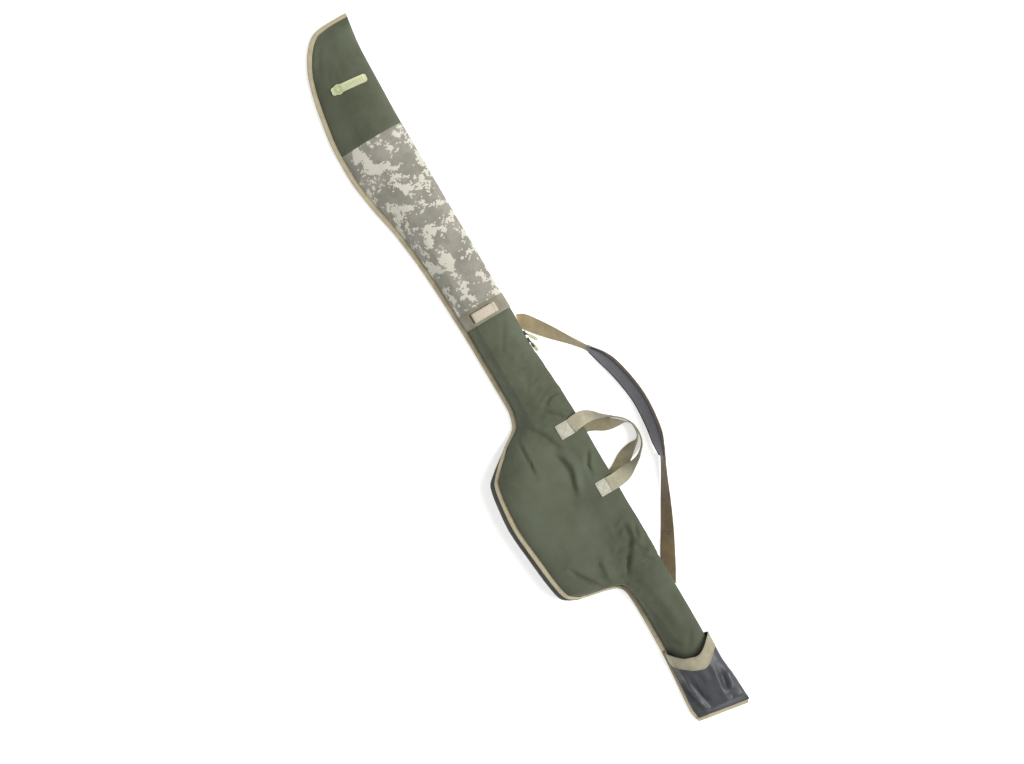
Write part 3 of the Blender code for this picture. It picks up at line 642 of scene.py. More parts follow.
def front_grids(xs, thickness=6.4):
    """Outer and inner grids of the whole front, with the seam's flat flange at its pouch side."""
    outer, inner, facing = [], [], []
    for x in xs:
        width = front_edge(x) - fold_y(x)
        shrink = (width - FLANGE) / width
        tops, outs, steps = [], [], []
        for j in range(COLUMNS + 1):
            s = column_s(x, j)
            place, out = front_point(x, s)
            if s < 0:
                place.y = fold_y(x) + (place.y - fold_y(x)) * shrink
            tops.append(place)
            outs.append(out)
            steps.append(s)
        for _ in range(8):
            for j in range(1, COLUMNS):
                if abs(steps[j]) < 0.16:
                    tops[j].z = (tops[j - 1].z + tops[j + 1].z) / 2
        low = pouch_height(x)
        pressed = end_drop(x)
        for place in tops:
            place.z += (11.0 - place.z) * pressed
        rim = front_edge(x) + 1.5 - 6.0 * max(0.0, (x - 955) / 40)
        flange = [Vector((x, rim, low + 0.9)), Vector((x, front_edge(x) - 4, low + 1.1))]
        tops = flange + tops
        outs = [Vector((0, 0, 1)), Vector((0, 0, 1))] + outs
        steps = [-1.02, -1.01] + steps
        row, under = [], []
        for place, out, s in zip(tops, outs, steps):
            depth = thickness * min(1.0, 0.25 + (s + 1.02) * 3.0, 0.36 + (1 - s) * 5.0)
            depth = depth * (1 - 0.6 * pressed)
            row.append((skewed(x, place.y), place.y, place.z))
            below = place - out * depth
            under.append((skewed(x, below.y), below.y, below.z))
        outer.append(row)
        inner.append(under)
        facing.append([tuple(out) for out in outs])
    outer, inner = np.array(outer), np.array(inner)
    shape = outer.shape
    lift = relief(outer.reshape(-1, 3)).reshape(shape[:2])
    seams = (HOOD_X, BAND_X[0], FLAP_END_X)
    for seam in seams:
        lift -= 1.3 * np.exp(-(((outer[..., 0] - seam) / 4.0) ** 2))
    column = np.arange(shape[1])
    edge = np.clip((column - 2) / 5.0, 0, 1) * np.clip((shape[1] - 1 - column) / 14.0, 0, 1)
    steps = np.array([[column_s(x, j - 2) if j > 1 else -1.0 for j in range(shape[1])] for x in xs])
    pushed = np.exp(-(((np.array(xs) - 58.0) / 40.0) ** 2))[:, None] * np.clip((steps - 0.5) * 5, 0, 1)
    ends = np.array([1 - end_drop(x) for x in xs])
    lift = lift * edge[None, :] * ends[:, None] - 5.5 * pushed * np.clip((1 - steps) * 12, 0, 1)
    lift -= 0.9 * np.exp(-(((np.arange(shape[1]) - WELT_COLUMN) / 0.9) ** 2))[None, :] * ends[:, None]
    normal = np.array(facing)
    outer = outer + normal * lift[..., None]
    inner = inner + normal * (0.5 * np.minimum(lift, 0) + 0.2 * lift)[..., None]
    return outer, inner


def rows_between(x0, x1, step=4.5):
    count = max(2, round((x1 - x0) / step))
    return [x0 + (x1 - x0) * i / count for i in range(count + 1)]


def make_camera():
    width, height, distance = 2.56, 8.0, 8.0
    data = bpy.data.cameras.new("camera")
    data.sensor_width = 36.0
    data.lens = 36.0 * distance / width
    data.clip_end = 40
    camera = bpy.data.objects.new("camera", data)
    turn = Matrix(((-0.50559, 0.86277, 0), (-0.86277, -0.50559, 0), (0, 0, 1)))
    camera.matrix_world = Matrix.Translation((-0.0086, 0.0292, height)) @ turn.to_4x4()
    bpy.context.scene.collection.objects.link(camera)
    bpy.context.scene.camera = camera


def make_light(name, place, target, size, power, colour=(1, 1, 1)):
    data = bpy.data.lights.new(name, "AREA")
    data.shape = "DISK"
    data.size = size
    data.energy = power
    data.color = colour
    made = bpy.data.objects.new(name, data)
    made.location = place
    made.rotation_euler = (Vector(target) - Vector(place)).to_track_quat("-Z", "Y").to_euler()
    bpy.context.scene.collection.objects.link(made)


def make_stage():
    mesh = bpy.data.meshes.new("floor")
    size = 30.0
    corners = [(-size, -size, 0), (size, -size, 0), (size, size, 0), (-size, size, 0)]
    mesh.from_pydata(corners, [], [(0, 1, 2, 3)])
    floor = bpy.data.objects.new("floor", mesh)
    made, _, shader = new_material("pale_floor", 0.9, specular=0.1)
    shader.inputs["Base Color"].default_value = (0.93, 0.93, 0.93, 1)
    shader.inputs["Emission Color"].default_value = (1, 1, 1, 1)
    shader.inputs["Emission Strength"].default_value = 0.4
    mesh.materials.append(made)
    bpy.context.scene.collection.objects.link(floor)
    world = bpy.data.worlds.new("studio")
    world.use_nodes = True
    background = world.node_tree.nodes["Background"]
    background.inputs["Color"].default_value = (1.0, 1.0, 1.0, 1)
    background.inputs["Strength"].default_value = 0.5
    bpy.context.scene.world = world
    key = bpy.data.lights.new("key", "SUN")
    key.energy = 3.2
    key.angle = 0.6
    sun = bpy.data.objects.new("key", key)
    sun.rotation_euler = Vector((0.45, 1.05, -1.25)).to_track_quat("-Z", "Y").to_euler()
    bpy.context.scene.collection.objects.link(sun)
    make_light("fill", (-2.4, 2.4, 3.6), (0, 0, 0), 2.6, 30)
    bpy.context.scene.view_settings.view_transform = "Standard"
    bpy.context.scene.view_settings.look = "None"


make_camera()
make_stage()


def blended(piece, from_x=None):
    """Bake the piece's placement into its mesh, with or without from_x."""
    if from_x is None:
        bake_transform(piece)
    else:
        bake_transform(piece)


def add_lay(piece, lay):
    stored = piece.data.attributes.new("lay", "FLOAT_VECTOR", "POINT")
    values = [component for vertex in piece.data.vertices for component in lay(vertex.co)]
    stored.data.foreach_set("vector", values)


def laid_out(place):
    """Where a point of the front lies once the cloth is rolled out flat, near enough for its print."""
    return place.x, place.y + math.tanh(place.y / 0.02) * (0.062 - place.z), 0.0


def make_front():
    """The front cloth: hood, camouflage panel, main panel and lower panel, each lined and softly folded."""
    pieces = {}

    def slot_of(i, j):
        # Columns before SHADE_COLUMN, by the pouch seam, take slot 3: on green panels the darkened gusset cloth, a
        # painted shade line next to the binding.
        return 2 if j >= WELT_COLUMN else 3 if j < SHADE_COLUMN else 0

    green = ("green", "lining", "welt", "gusset")
    camo_slots = ("camo", "lining", "welt", "camo")
    xs = rows_between(HOOD_X, TIP_X - 2, 5)
    outer, inner = front_grids(xs)
    pieces["hood"] = thick_sheet("hood_cloth", outer, inner, green, slot_of=slot_of)
    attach(pieces["hood"], "case")
    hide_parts("tip_hood", "hood_padding")
    xs = rows_between(BAND_X[0], HOOD_X, 5)
    outer, inner = front_grids(xs)
    middle = np.array([(a + b) / 2 for a, b in zip(xs, xs[1:])])
    wide = np.arange(outer.shape[1] - 1) >= SPLIT + 2
    end = (middle > HOOD_X - END_FADE)[:, None] & wide[None, :]
    camo = thick_sheet("camo_cloth", outer, inner, camo_slots, ~end, slot_of=slot_of)
    blended(camo)
    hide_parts("camo_cover_panel", "camo_side_panel", "side_padding")
    camo_end = thick_sheet("camo_cloth_zip_end", outer, inner, camo_slots, end, slot_of=slot_of)
    blended(camo_end, HOOD_X)
    xs = rows_between(FLAP_END_X, BAND_X[0], 4)
    outer, inner = front_grids(xs)
    middle = np.array([(a + b) / 2 for a, b in zip(xs, xs[1:])])
    end = (middle < FLAP_END_X + END_FADE)[:, None] & wide[None, :]
    main = thick_sheet("main_cloth", outer, inner, green, ~end, slot_of=slot_of)
    blended(main)
    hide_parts("main_cover_panel", "pouch_panel", "cover_padding")
    main_end = thick_sheet("main_cloth_zip_end", outer, inner, green, end, slot_of=slot_of)
    blended(main_end, FLAP_END_X)
    xs = rows_between(BUTT_X + 1, FLAP_END_X, 4)
    outer, inner = front_grids(xs)
    lower = thick_sheet("lower_cloth", outer, inner, green, slot_of=slot_of)
    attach(lower, "case")
    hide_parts("lower_front_panel", "lower_padding")
    for piece in (camo, camo_end):
        add_lay(piece, laid_out)


make_front()


def smooth_path(points, step):
    """Points about step apart along a smooth curve through the given ones."""
    points = [np.array(point, dtype=float) for point in points]
    points = [2 * points[0] - points[1], *points, 2 * points[-1] - points[-2]]
    found = []
    for k in range(len(points) - 3):
        a, b, c, d = points[k : k + 4]
        count = max(1, round(np.linalg.norm((c - b)[:3]) / step))
        for i in range(count):
            t = i / count
            square, cube = 2 * a - 5 * b + 4 * c - d, 3 * b - a - 3 * c + d
            found.append(0.5 * (2 * b + (c - a) * t + square * t**2 + cube * t**3))
    found.append(points[-2])
    return found


def sweep(name, centres, acrosses, profile, slots, slot_of=None, sharp=50.0):
    """Sweep a closed profile of (across, up) points; up is square to the course and to across."""
    centres, acrosses = np.array(centres, dtype=float), np.array(acrosses, dtype=float)
    count = len(centres)
    walked = np.concatenate([[0], np.cumsum(np.linalg.norm(np.diff(centres, axis=0), axis=1))])
    points, lay = [], []
    for i in range(count):
        along = centres[min(i + 1, count - 1)] - centres[max(i - 1, 0)]
        along /= np.linalg.norm(along) + 1e-12
        across = acrosses[i] - along * (acrosses[i] @ along)
        across /= np.linalg.norm(across)
        up = np.cross(along, across)
        shape = profile(i / (count - 1), walked[i]) if callable(profile) else profile
        for a, b in shape:
            points.append(centres[i] + across * a + up * b)
            lay.append((walked[i], a, b))
    sides = len(shape)
    faces, indices = [], []
    for i in range(count - 1):
        for j in range(sides):
            k = (j + 1) % sides
            faces.append([i * sides + j, i * sides + k, (i + 1) * sides + k, (i + 1) * sides + j])
            indices.append(slot_of(i, j) if slot_of else 0)
    faces.append(list(range(sides))[::-1])
    faces.append([(count - 1) * sides + j for j in range(sides)])
    indices += [0, 0]
    made = finish_mesh(name, points, faces, slots, indices, {"lay": lay})
    flip_if_inside_out(made)
    made.data.set_sharp_from_angle(angle=math.radians(sharp))
    return made


def stitches(name, courses, slot, pitch=4.0, length=2.9, radius=0.42, sunk=0.1):
    """Rows of thread stitches; each course is a list of (point, up) in millimetres."""
    points, faces = [], []
    rings = ((-0.5, 0.25), (-0.32, 0.9), (0.0, 1.0), (0.32, 0.9), (0.5, 0.25))
    for course in courses:
        places = [np.array(point, dtype=float) for point, _ in course]
        ups = [np.array(up, dtype=float) for _, up in course]
        walked = np.concatenate([[0], np.cumsum([np.linalg.norm(b - a) for a, b in zip(places, places[1:])])])
        count = int(walked[-1] / pitch)
        for n in range(count):
            middle = (n + 0.5) * walked[-1] / count
            k = min(int(np.searchsorted(walked, middle)), len(places) - 1)
            k = max(k, 1)
            t = (middle - walked[k - 1]) / max(walked[k] - walked[k - 1], 1e-9)
            place = places[k - 1] * (1 - t) + places[k] * t
            along = places[k] - places[k - 1]
            along /= np.linalg.norm(along) + 1e-12
            up = ups[k - 1] * (1 - t) + ups[k] * t
            side = np.cross(along, up)
            side /= np.linalg.norm(side) + 1e-12
            up = np.cross(side, along)
            base = len(points)
            for along_share, size in rings:
                for corner in range(5):
                    angle = 2 * math.pi * corner / 5
                    lift = radius * (size * math.sin(angle) + 0.7 * size - sunk)
                    points.append(
                        place + along * along_share * length + side * radius * size * math.cos(angle) + up * lift
                    )
            for r in range(4):
                for corner in range(5):
                    a, b = base + r * 5 + corner, base + r * 5 + (corner + 1) % 5
                    faces.append([a, b, b + 5, a + 5])
            faces.append([base + c for c in range(4, -1, -1)])
            faces.append([base + 20 + c for c in range(5)])
    made = finish_mesh(name, points, faces, (slot,))
    flip_if_inside_out(made)
    return made


def joined(name, pieces):
    """One object out of several that share their body and their materials' order."""
    bpy.ops.object.select_all(action="DESELECT")
    for piece in pieces:
        piece.select_set(True)
    bpy.context.view_layer.objects.active = pieces[0]
    bpy.ops.object.join()
    made = bpy.context.view_layer.objects.active
    made.name = made.data.name = name
    return made


def seam_course(x0, x1, step, edge, away, height):
    """Places along an edge y(x), moved out square to it by away, each with the outward direction."""
    found = []
    for x in rows_between(x0, x1, step):
        slope = edge(x + 0.5) - edge(x - 0.5)
        out = Vector((-slope, 1)).normalized()
        px, py = x + out.x * away, edge(x) + out.y * away
        found.append(((skewed(px, py), py, height(x)), (out.x, out.y, 0.0)))
    return found


def evened(course, step=4.0, rounds=6):
    """A course with evenly spaced places and its corners rounded off."""
    places = np.array([place for place, _ in course], dtype=float)
    outs = np.array([out for _, out in course], dtype=float)
    walked = np.concatenate([[0], np.cumsum(np.linalg.norm(np.diff(places, axis=0), axis=1))])
    marks = np.linspace(0, walked[-1], max(3, int(walked[-1] / step)))
    places = np.stack([np.interp(marks, walked, places[:, i]) for i in range(3)], axis=1)
    outs = np.stack([np.interp(marks, walked, outs[:, i]) for i in range(3)], axis=1)
    for turn in range(rounds + 60):
        share = np.where((turn < rounds) | (places[1:-1, 0] > 945), 0.5, 0.0)[:, None]
        for values in (places, outs):
            values[1:-1] += share * ((values[:-2] + values[2:]) / 2 - values[1:-1])
    outs /= np.linalg.norm(outs, axis=1, keepdims=True)
    return [(tuple(place), tuple(out)) for place, out in zip(places, outs)]


def binding_profile(width=12.5, thick=5.4):
    """A tape folded round an edge: rounded outside, flat faces, slightly open inside."""
    half, h = width / 2, thick / 2
    found = [(half * math.cos(a) * 0.25 + half * 0.75, h * math.sin(a)) for a in np.radians(range(-90, 91, 30))]
    found += [(0, h + 0.15), (-half + 0.6, h - 0.2), (-half, h - 0.8), (-half, -h + 0.8), (-half + 0.6, -h + 0.2)]
    found += [(0, -h - 0.15)]
    return found


def make_bindings():
    """Ribbed tape: the whole left seam and the tip in one run, the pouch's back seam, and the butt hem."""

    def edge(x):
        return front_edge(x) + 4.5 * max(0.0, (x - 915) / 72) ** 2

    side = seam_course(-990, TIP_X - 14, 4, edge, -3.4, lambda x: pouch_height(x) + 0.2)
    tip_course = ((14, 9.5), (-16, 9.7), (-46, 9.9), (-78, 10.1))
    tip = [((TIP_X - 2.2, y, z), (1.0, 0.0, 0.0)) for y, z in tip_course]
    course = evened(side + tip, 3.5, 5)
    binding = sweep("left_seam_binding", *zip(*course), binding_profile(), ("binding",))
    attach(binding, "case")
    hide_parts("seam_binding", "tip_binding")
    rows = [((np.array(p) - np.array(o) * 3.6 + np.array((0, 0, 2.5))), (0, 0, 1)) for p, o in course]
    rows = stitches("left_seam_stitches", [rows], "pale_thread")
    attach(rows, "case")
    course = evened(seam_course(-586, -132, 4, back_edge, -4.0, lambda x: 4.4), 3.5, 3)
    back = sweep("pouch_back_seam_binding", [p for p, _ in course], [(o[0], o[1], -0.5) for _, o in course],
                 binding_profile(10, 4.6), ("binding",))
    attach(back, "case")
    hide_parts("pouch_back_binding")
    hem = []
    ends = (back_edge(BUTT_X) + 1.5, zip_seam(BUTT_X) - 6.0)
    for i in range(28):
        y = ends[0] + (ends[1] - ends[0]) * i / 27
        wave = 0.8 * math.sin(y * 0.09) + 1.6 * math.sin(y * 0.035 + 1)
        hem.append(((skewed(BUTT_X, y) - 1.0, y, 12.5 + wave), (-1.0, 0.12, 0.0)))
    binding = sweep("butt_hem_binding", *zip(*hem), binding_profile(11, 6.5), ("binding",))
    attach(binding, "case")
    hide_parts("butt_binding")
    rows = [((np.array(p) - np.array(o) * 3.4 + np.array((0, 0, 3.3))), (0, 0, 1)) for p, o in hem]
    rows = stitches("butt_hem_stitches", [rows], "pale_thread")
    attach(rows, "case")


def make_back():
    """The back: one padded sheet that turns up at the zip wall and at the pouch-side seam."""
    xs = rows_between(BUTT_X + 1, TIP_X - 2, 9)
    outer, inner = [], []
    for x in xs:
        pressed = end_drop(x)
        edge, zip_edge = back_edge(x) - 6.0 * max(0.0, (x - 955) / 40), zip_seam(x) + 1.5
        top = wall_top(x) + (8.0 - wall_top(x)) * pressed
        outside = [(zip_edge, top), (zip_edge - 0.4, top * 0.66), (zip_edge - 0.2, top * 0.36)]
        outside += [(zip_edge + 1.0, top * 0.12), (zip_edge + 4, 0.7), (zip_edge + 9, 0.15)]
        flat = [zip_edge + 16 + (edge - 34 - zip_edge) * i / 12 for i in range(13)]
        outside += [(y, 0.05) for y in flat]
        rise = 1 - 0.55 * pouch(x)
        outside += [(edge - 12, 0.4), (edge - 8, 2.2 * rise + 0.3)]
        outside += [(edge - 5, 4.6 * rise + 0.6), (edge + 1, 5.8 * rise + 0.9)]
        inside = [(zip_edge + 7.8, top), (zip_edge + 8.0, top * 0.7), (zip_edge + 8.2, top * 0.55)]
        inside += [(zip_edge + 9, 10.5), (zip_edge + 11, 9.2), (zip_edge + 14, 8.4)]
        inside += [(y, 7.9) for y in flat]
        inside += [(edge - 13, 7.9), (edge - 9, 7.9), (edge - 5.5, 7.6), (edge + 0.6, 7.6)]
        row, under = [], []
        for (y, z), (v, w) in zip(outside, inside):
            w = min(w, top) if pressed < 0.05 else min(w, 8.0) * (1 - 0.4 * pressed)
            row.append((skewed(x, y), y, z + 5.0 * pressed * (z < 5)))
            under.append((skewed(x, v), v, max(w, z + 1.2 + 4.0 * pressed * (z < 5))))
        outer.append(row)
        inner.append(under)
    outer, inner = np.array(outer), np.array(inner)
    soft = fractal(outer.reshape(-1, 3), 70, 21).reshape(outer.shape[:2])
    quilt = np.abs(np.sin(outer[..., 0] * math.pi / 120.0))
    flat = slice(6, 19)
    outer[:, flat, 2] += np.clip(0.9 * soft[:, flat] + 0.5, 0.0, 1.6) * 0.9
    inner[:, flat, 2] += (1.2 * soft + 1.3 * quilt - 1.2)[:, flat]

    def slot_of(i, j):
        return 3 if xs[i] < BOOT_X else 0

    back = thick_sheet("back_cloth", outer, inner, ("green", "lining", "green", "pvc"), slot_of=slot_of)
    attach(back, "case")
    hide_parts("back_panel", "boot_back_panel", "back_foam", "back_lining", "zip_side_wall")


def make_gusset():
    """The pouch's side wall, which bulges out between its two seams."""
    xs = rows_between(-588, -122, 5)
    outer, inner = [], []
    for x in xs:
        top = pouch_height(x) - 1.6
        slope = back_edge(x + 0.5) - back_edge(x - 0.5)
        out = Vector((-slope, 1)).normalized()
        front, back = front_edge(x), back_edge(x)
        rise = max(top - 7.5, 0.5)
        row, under = [], []
        for k in range(15):
            t = k / 14
            y = back + (front - 3.5 - back) * t**1.6
            bulge = 3.2 * math.sin(math.pi * t) * min(1.0, rise / 40)
            bulge += 0.9 * noise.noise(Vector((x / 26, t * 2, 4.0))) * math.sin(math.pi * t)
            z = 6.5 + (top - 6.5) * t
            px, py = x + out.x * bulge, y + out.y * bulge
            row.append((px, py, z))
            under.append((px - out.x * 4.2, py - out.y * 4.2, z))
        outer.append(row)
        inner.append(under)
    # The gusset's darker cloth is painted shade.
    gusset = thick_sheet("gusset_cloth", np.array(outer), np.array(inner), ("gusset", "lining"))
    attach(gusset, "case")
    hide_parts("reel_gusset")


make_back()
make_gusset()
make_bindings()


def on_front(x, y, lift=0.0):
    """A point on the visual front cloth, with its relief, lifted along z."""
    place = np.array([[x, y, height_over(x, y)]])
    return (x, y, float(place[0, 2] + relief(place)[0] + lift))


def make_cross_band():
    """The webbing band across the front, bent over the fold line, and its two rows of stitches."""
    xs = rows_between(BAND_X[0], BAND_X[1], 4)
    outer, inner = front_grids(xs)
    normal = outer - inner
    normal /= np.linalg.norm(normal, axis=2, keepdims=True) + 1e-9
    cut = slice(3, outer.shape[1] - 1)
    lifted, low = (outer + normal * 1.9)[:, cut], (outer + normal * 0.3)[:, cut]
    band = thick_sheet("cross_band_cloth", lifted, low, ("band", "band"))
    add_lay(band, lambda p: (p.y, p.x, 0.0))
    blended(band)
    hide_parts("cross_band", "cross_band_side")
    rows = []
    for k in (1, -2):
        rows.append([(lifted[k, j], (0, 0, 1)) for j in range(2, lifted.shape[1] - 14, 2)])
    thread = stitches("cross_band_stitches", rows, "pale_thread")
    blended(thread)


def cloth_patch(name, x_range, y_range, low, high, slot, steps=(9, 15), round_by=2.0, crown=0.3):
    """A soft rectangle on the front, its corners rounded, between two lifts over the cloth."""
    xs, ys = np.linspace(*x_range, steps[0]), np.linspace(*y_range, steps[1])
    upper, lower = [], []
    for i, x in enumerate(xs):
        top, bottom = [], []
        for j, y in enumerate(ys):
            near = min(i, steps[0] - 1 - i, 1) * min(j, steps[1] - 1 - j, 1)
            px, py = x, y
            if i in (0, steps[0] - 1) and j in (0, steps[1] - 1):
                px += round_by * (0.3 if i == 0 else -0.3)
                py += round_by * (0.3 if j == 0 else -0.3) * np.sign(y_range[1] - y_range[0])
            base = on_front(px, py)
            top.append((px, py, base[2] + high - (0 if near else 0.5) + crown * near))
            bottom.append((px, py, base[2] + low))
        upper.append(top)
        lower.append(bottom)
    made = thick_sheet(name, np.array(upper), np.array(lower), (slot, slot), sharp=60)
    add_lay(made, lambda p: (p.y, p.x, 0.0))
    return made


def make_tab():
    sewn = cloth_patch("pole_tab_base", (162, 187), (-33, -24.3), 2.0, 4.0, "tab", (9, 5))
    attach(sewn, "cover")
    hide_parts("tab_sewn_end")
    # The hook layer is real and shows at the pouch-side end; its 2.5 mm overhang on the hood side is a painted shadow
    # line along the tab's edge.
    hooks = cloth_patch("pole_tab_hooks_and_painted_shadow", (163, 189.5), (-20, 38), 2.0, 3.0, "hooks", (9, 15))
    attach(hooks, "pole_tab")
    tab = cloth_patch("pole_tab_cloth", (162, 187), (-23.8, 33), 3.1, 5.0, "tab", (11, 19))
    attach(tab, "pole_tab")
    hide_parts("pole_tab")
    corners = ((164.5, -20), (164.5, 30), (184.5, 30), (184.5, -20), (164.5, -20))
    course = [on_front(x, y, 5.2) for x, y in corners]
    dense = []
    for a, b in zip(course, course[1:]):
        for t in np.linspace(0, 1, 9)[:-1]:
            x, y = a[0] + (b[0] - a[0]) * t, a[1] + (b[1] - a[1]) * t
            dense.append((on_front(x, y, 5.25), (0, 0, 1)))
    rows = stitches("pole_tab_stitches", [dense], "pale_thread", 3.2, 2.3, 0.32)
    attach(rows, "pole_tab")
    across = np.linspace(163, 186, 8)
    seams = [[(on_front(x, y, 4.2), (0, 0, 1)) for x in across] for y in (-31, -27)]
    rows = stitches("tab_base_stitches", seams,
                    "pale_thread", 3.2, 2.3, 0.32)
    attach(rows, "cover")


def make_badge():
    """A moulded rubber badge: a round head at the pouch side, a raised rim and a plain ring pattern."""
    cx, cy, turn = 834.0, 5.0, math.radians(-6.5)
    half, radius, head, head_y = 47.5, 10.8, 13.6, 29.0

    def lay_down(across, along, lift):
        x = cx + across * math.cos(turn) - along * math.sin(turn)
        y = cy + across * math.sin(turn) + along * math.cos(turn)
        return on_front(x, y, lift)

    def half_width(v):
        body = radius - 4.5 * max(0.0, (-half + 7 - v) / 7) ** 2.2 - 3.5 * max(0.0, (v - half + 6) / 6) ** 2
        near = head * head - (v - head_y) ** 2
        return max(body, math.sqrt(near)) if near > 0 else body

    upper, lower = [], []
    ends = [-half, -half + 0.5, -half + 1.2, -half + 2.4, -half + 3]
    for v in [*ends, *np.linspace(-half + 5, half - 5, 42), *(-end for end in reversed(ends))]:
        width = half_width(v)
        rim_v = min(v + half, half - v)
        top, bottom = [], []
        for u in (-1, -0.97, -0.9, -0.8, -0.74, -0.4, 0, 0.4, 0.74, 0.8, 0.9, 0.97, 1):
            rim_u = (1 - abs(u)) * width
            edge = min(rim_u, rim_v)
            rise = 2.9 * min(1.0, (edge / 0.9)) ** 0.5 if edge < 2.2 else 2.1
            top.append(lay_down(u * width, v, 0.3 + rise))
            bottom.append(lay_down(u * width, v, 0.1))
        upper.append(top)
        lower.append(bottom)
    badge = thick_sheet("badge_rubber", np.array(upper), np.array(lower), ("rubber", "rubber"), sharp=60)
    extras = []
    round_way = np.linspace(0, 2 * math.pi, 9)[:-1]
    for size, tube in ((9.0, 0.7), (5.6, 0.6)):
        angles = np.linspace(0, 2 * math.pi, 37)
        centres = [lay_down(size * math.cos(a), head_y + size * math.sin(a), 2.5) for a in angles]
        acrosses = [(math.cos(a + turn), math.sin(a + turn), 0) for a in angles]
        shape = [(tube * math.cos(t), tube * math.sin(t)) for t in round_way]
        extras.append(sweep(f"badge_ring_{size:.0f}", centres, acrosses, shape, ("badge_mark",)))
    for k, v in enumerate(range(-36, 12, 6)):
        centres = [lay_down(u, v + 1.2 * u / 6, 2.5) for u in np.linspace(-4.6, 4.6, 7)]
        shape = [(0.8 * math.cos(t), 0.6 * math.sin(t)) for t in round_way]
        extras.append(sweep(f"badge_bar_{k}", centres, [(0, 1, 0)] * 7, shape, ("badge_mark",)))
    marks = joined("badge_marks", extras)
    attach(badge, "case")
    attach(marks, "case")
    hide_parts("badge")


def make_pocket():
    """The butt's PVC pocket with its mouth hanging open in a V, creased across, and its tan band."""
    mouth = curve_through(
        (-1.0, -788), (-0.8, -791), (-0.27, -827), (-0.14, -823), (0.3, -805), (0.62, -791), (1.0, -778)
    )
    hem = BUTT_X + 3
    rows, columns = 60, 64
    creases = (
        (((-852, 30), (-880, 31), (-913, 27), (-946, 22), (-984, 14)), 5, -3.2),
        (((-858, 38), (-890, 41), (-930, 37), (-975, 32)), 7, 3.6),
        (((-868, -44), (-905, -40), (-937, -35), (-985, -33)), 8, -3.2),
        (((-892, -54), (-915, -50), (-935, -45)), 9, 4.0),
        (((-938, -66), (-942, -52), (-946, -38)), 8, -2.4),
        (((-845, 10), (-870, 0), (-905, -6)), 7, 1.6),
        (((-930, 10), (-955, 0), (-980, -8)), 6, 1.5),
    )

    def grid(depth, span, t_of):
        found = []
        for i in range(span):
            line = []
            for j in range(columns):
                share = 1 - 2 * j / (columns - 1)
                s = -share
                start = mouth(share)
                x = t_of(start, i / (span - 1))
                t = (x - start) / (hem - start)
                place, out = front_point(x, s * 0.97)
                if s < 0:
                    width = front_edge(x) - fold_y(x)
                    place.y = fold_y(x) + (place.y - fold_y(x)) * (width - FLANGE + 2) / width
                gape = 15.0 * max(0.0, math.cos(share * math.pi / 2)) ** 0.9 * (1 - t) ** 1.5
                swell = 3.0 * math.sin(math.pi * min(max(t, 0), 1)) * math.cos(share * math.pi / 2)
                spot = place + out * (depth + gape + swell)
                pressed = end_drop(x)
                spot.z += (15.5 + depth - 2.0 - spot.z) * pressed
                line.append((x, spot.y, spot.z, out.y, out.z, pressed, abs(s)))
            found.append(line)
        found = np.array(found)
        flat = found[..., :3].reshape(-1, 3)
        lift = 1.2 * fractal(flat, 60, 31) + 0.7 * fractal(flat, 24, 32)
        for crease in creases:
            lift += groove_depth(flat[:, :2], *crease)
        fade = (1 - found[..., 5]) * np.clip((1 - found[..., 6]) * 8, 0, 1)
        lift = lift.reshape(found.shape[:2]) * fade
        places = found[..., :3].copy()
        places[..., 1] += found[..., 3] * lift
        places[..., 2] += found[..., 4] * lift
        for line in places:
            for place in line:
                place[0] = skewed(place[0], place[1])
        return places

    def whole(start, t):
        return start + (hem - start) * t

    def strip(start, t):
        return start - 37.0 * t

    sheet = thick_sheet("butt_pocket_pvc", grid(3.6, rows, whole), grid(2.2, rows, whole), ("pvc", "pvc"))
    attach(sheet, "case")
    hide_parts("butt_pocket")
    band_slots = ("binding_flat", "binding_flat")
    band = thick_sheet("pocket_band_cloth", grid(5.0, 12, strip), grid(3.9, 12, strip), band_slots)
    add_lay(band, lambda p: (p.y, p.x, 0.0))
    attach(band, "case")
    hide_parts("pocket_band")
    top = grid(5.1, 12, strip)
    rows_of = [[(top[k, j], (0, 0, 1)) for j in range(2, columns - 2)] for k in (1, 10)]
    thread = stitches("pocket_band_stitches", rows_of, "pale_thread")
    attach(thread, "case")
    lining = grid(-2.0, rows, whole)
    lining_low = grid(-2.6, rows, whole)
    under = thick_sheet("pocket_inner_pvc", lining[6:], lining_low[6:], ("pvc", "pvc"))
    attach(under, "case")


make_cross_band()
make_tab()
make_badge()
make_pocket()


def ribbon(name, route, profile, slot, shift=0.0, step=4.0, slot_of=None, extra=0.0, ease=0.0):
    """Webbing along (x, y, z, tilt): tilt 0 lies flat, and below 0 lifts the outer edge."""
    path = smooth_path(route, step)
    centres, acrosses = [], []
    for i, place in enumerate(path):
        along = path[min(i + 1, len(path) - 1)][:3] - path[max(i - 1, 0)][:3]
        along /= np.linalg.norm(along)
        side = np.cross(along, (0, 0, 1))
        side /= np.linalg.norm(side)
        up = np.cross(side, along)
        t = i / (len(path) - 1)
        share = min(1.0, min(t, 1 - t) / ease) if ease else 1.0
        share = share * share * (3 - 2 * share)
        tilt = math.radians(place[3] + extra * share)
        across = side * math.cos(tilt) + up * math.sin(tilt)
        face = np.cross(across, along)
        centres.append(place[:3] + face * shift * share)
        acrosses.append(across)
    slots = slot if isinstance(slot, tuple) else (slot,)
    return sweep(name, centres, acrosses, profile, slots, slot_of=slot_of), centres, acrosses


def webbing_profile(width=WEBBING, thick=1.9):
    """A woven strap: a hair thicker at its selvedges, and faintly crowned between."""
    half, h = width / 2, thick / 2
    top = [(half, 0.0), (half - 0.4, h), (half - 2.2, h * 1.15), (half * 0.5, h * 0.92), (0, h)]
    top += [(-half * 0.5, h * 0.92), (-half + 2.2, h * 1.15), (-half + 0.4, h), (-half, 0.0)]
    return top + [(a, -b) for a, b in top[-2:0:-1]]


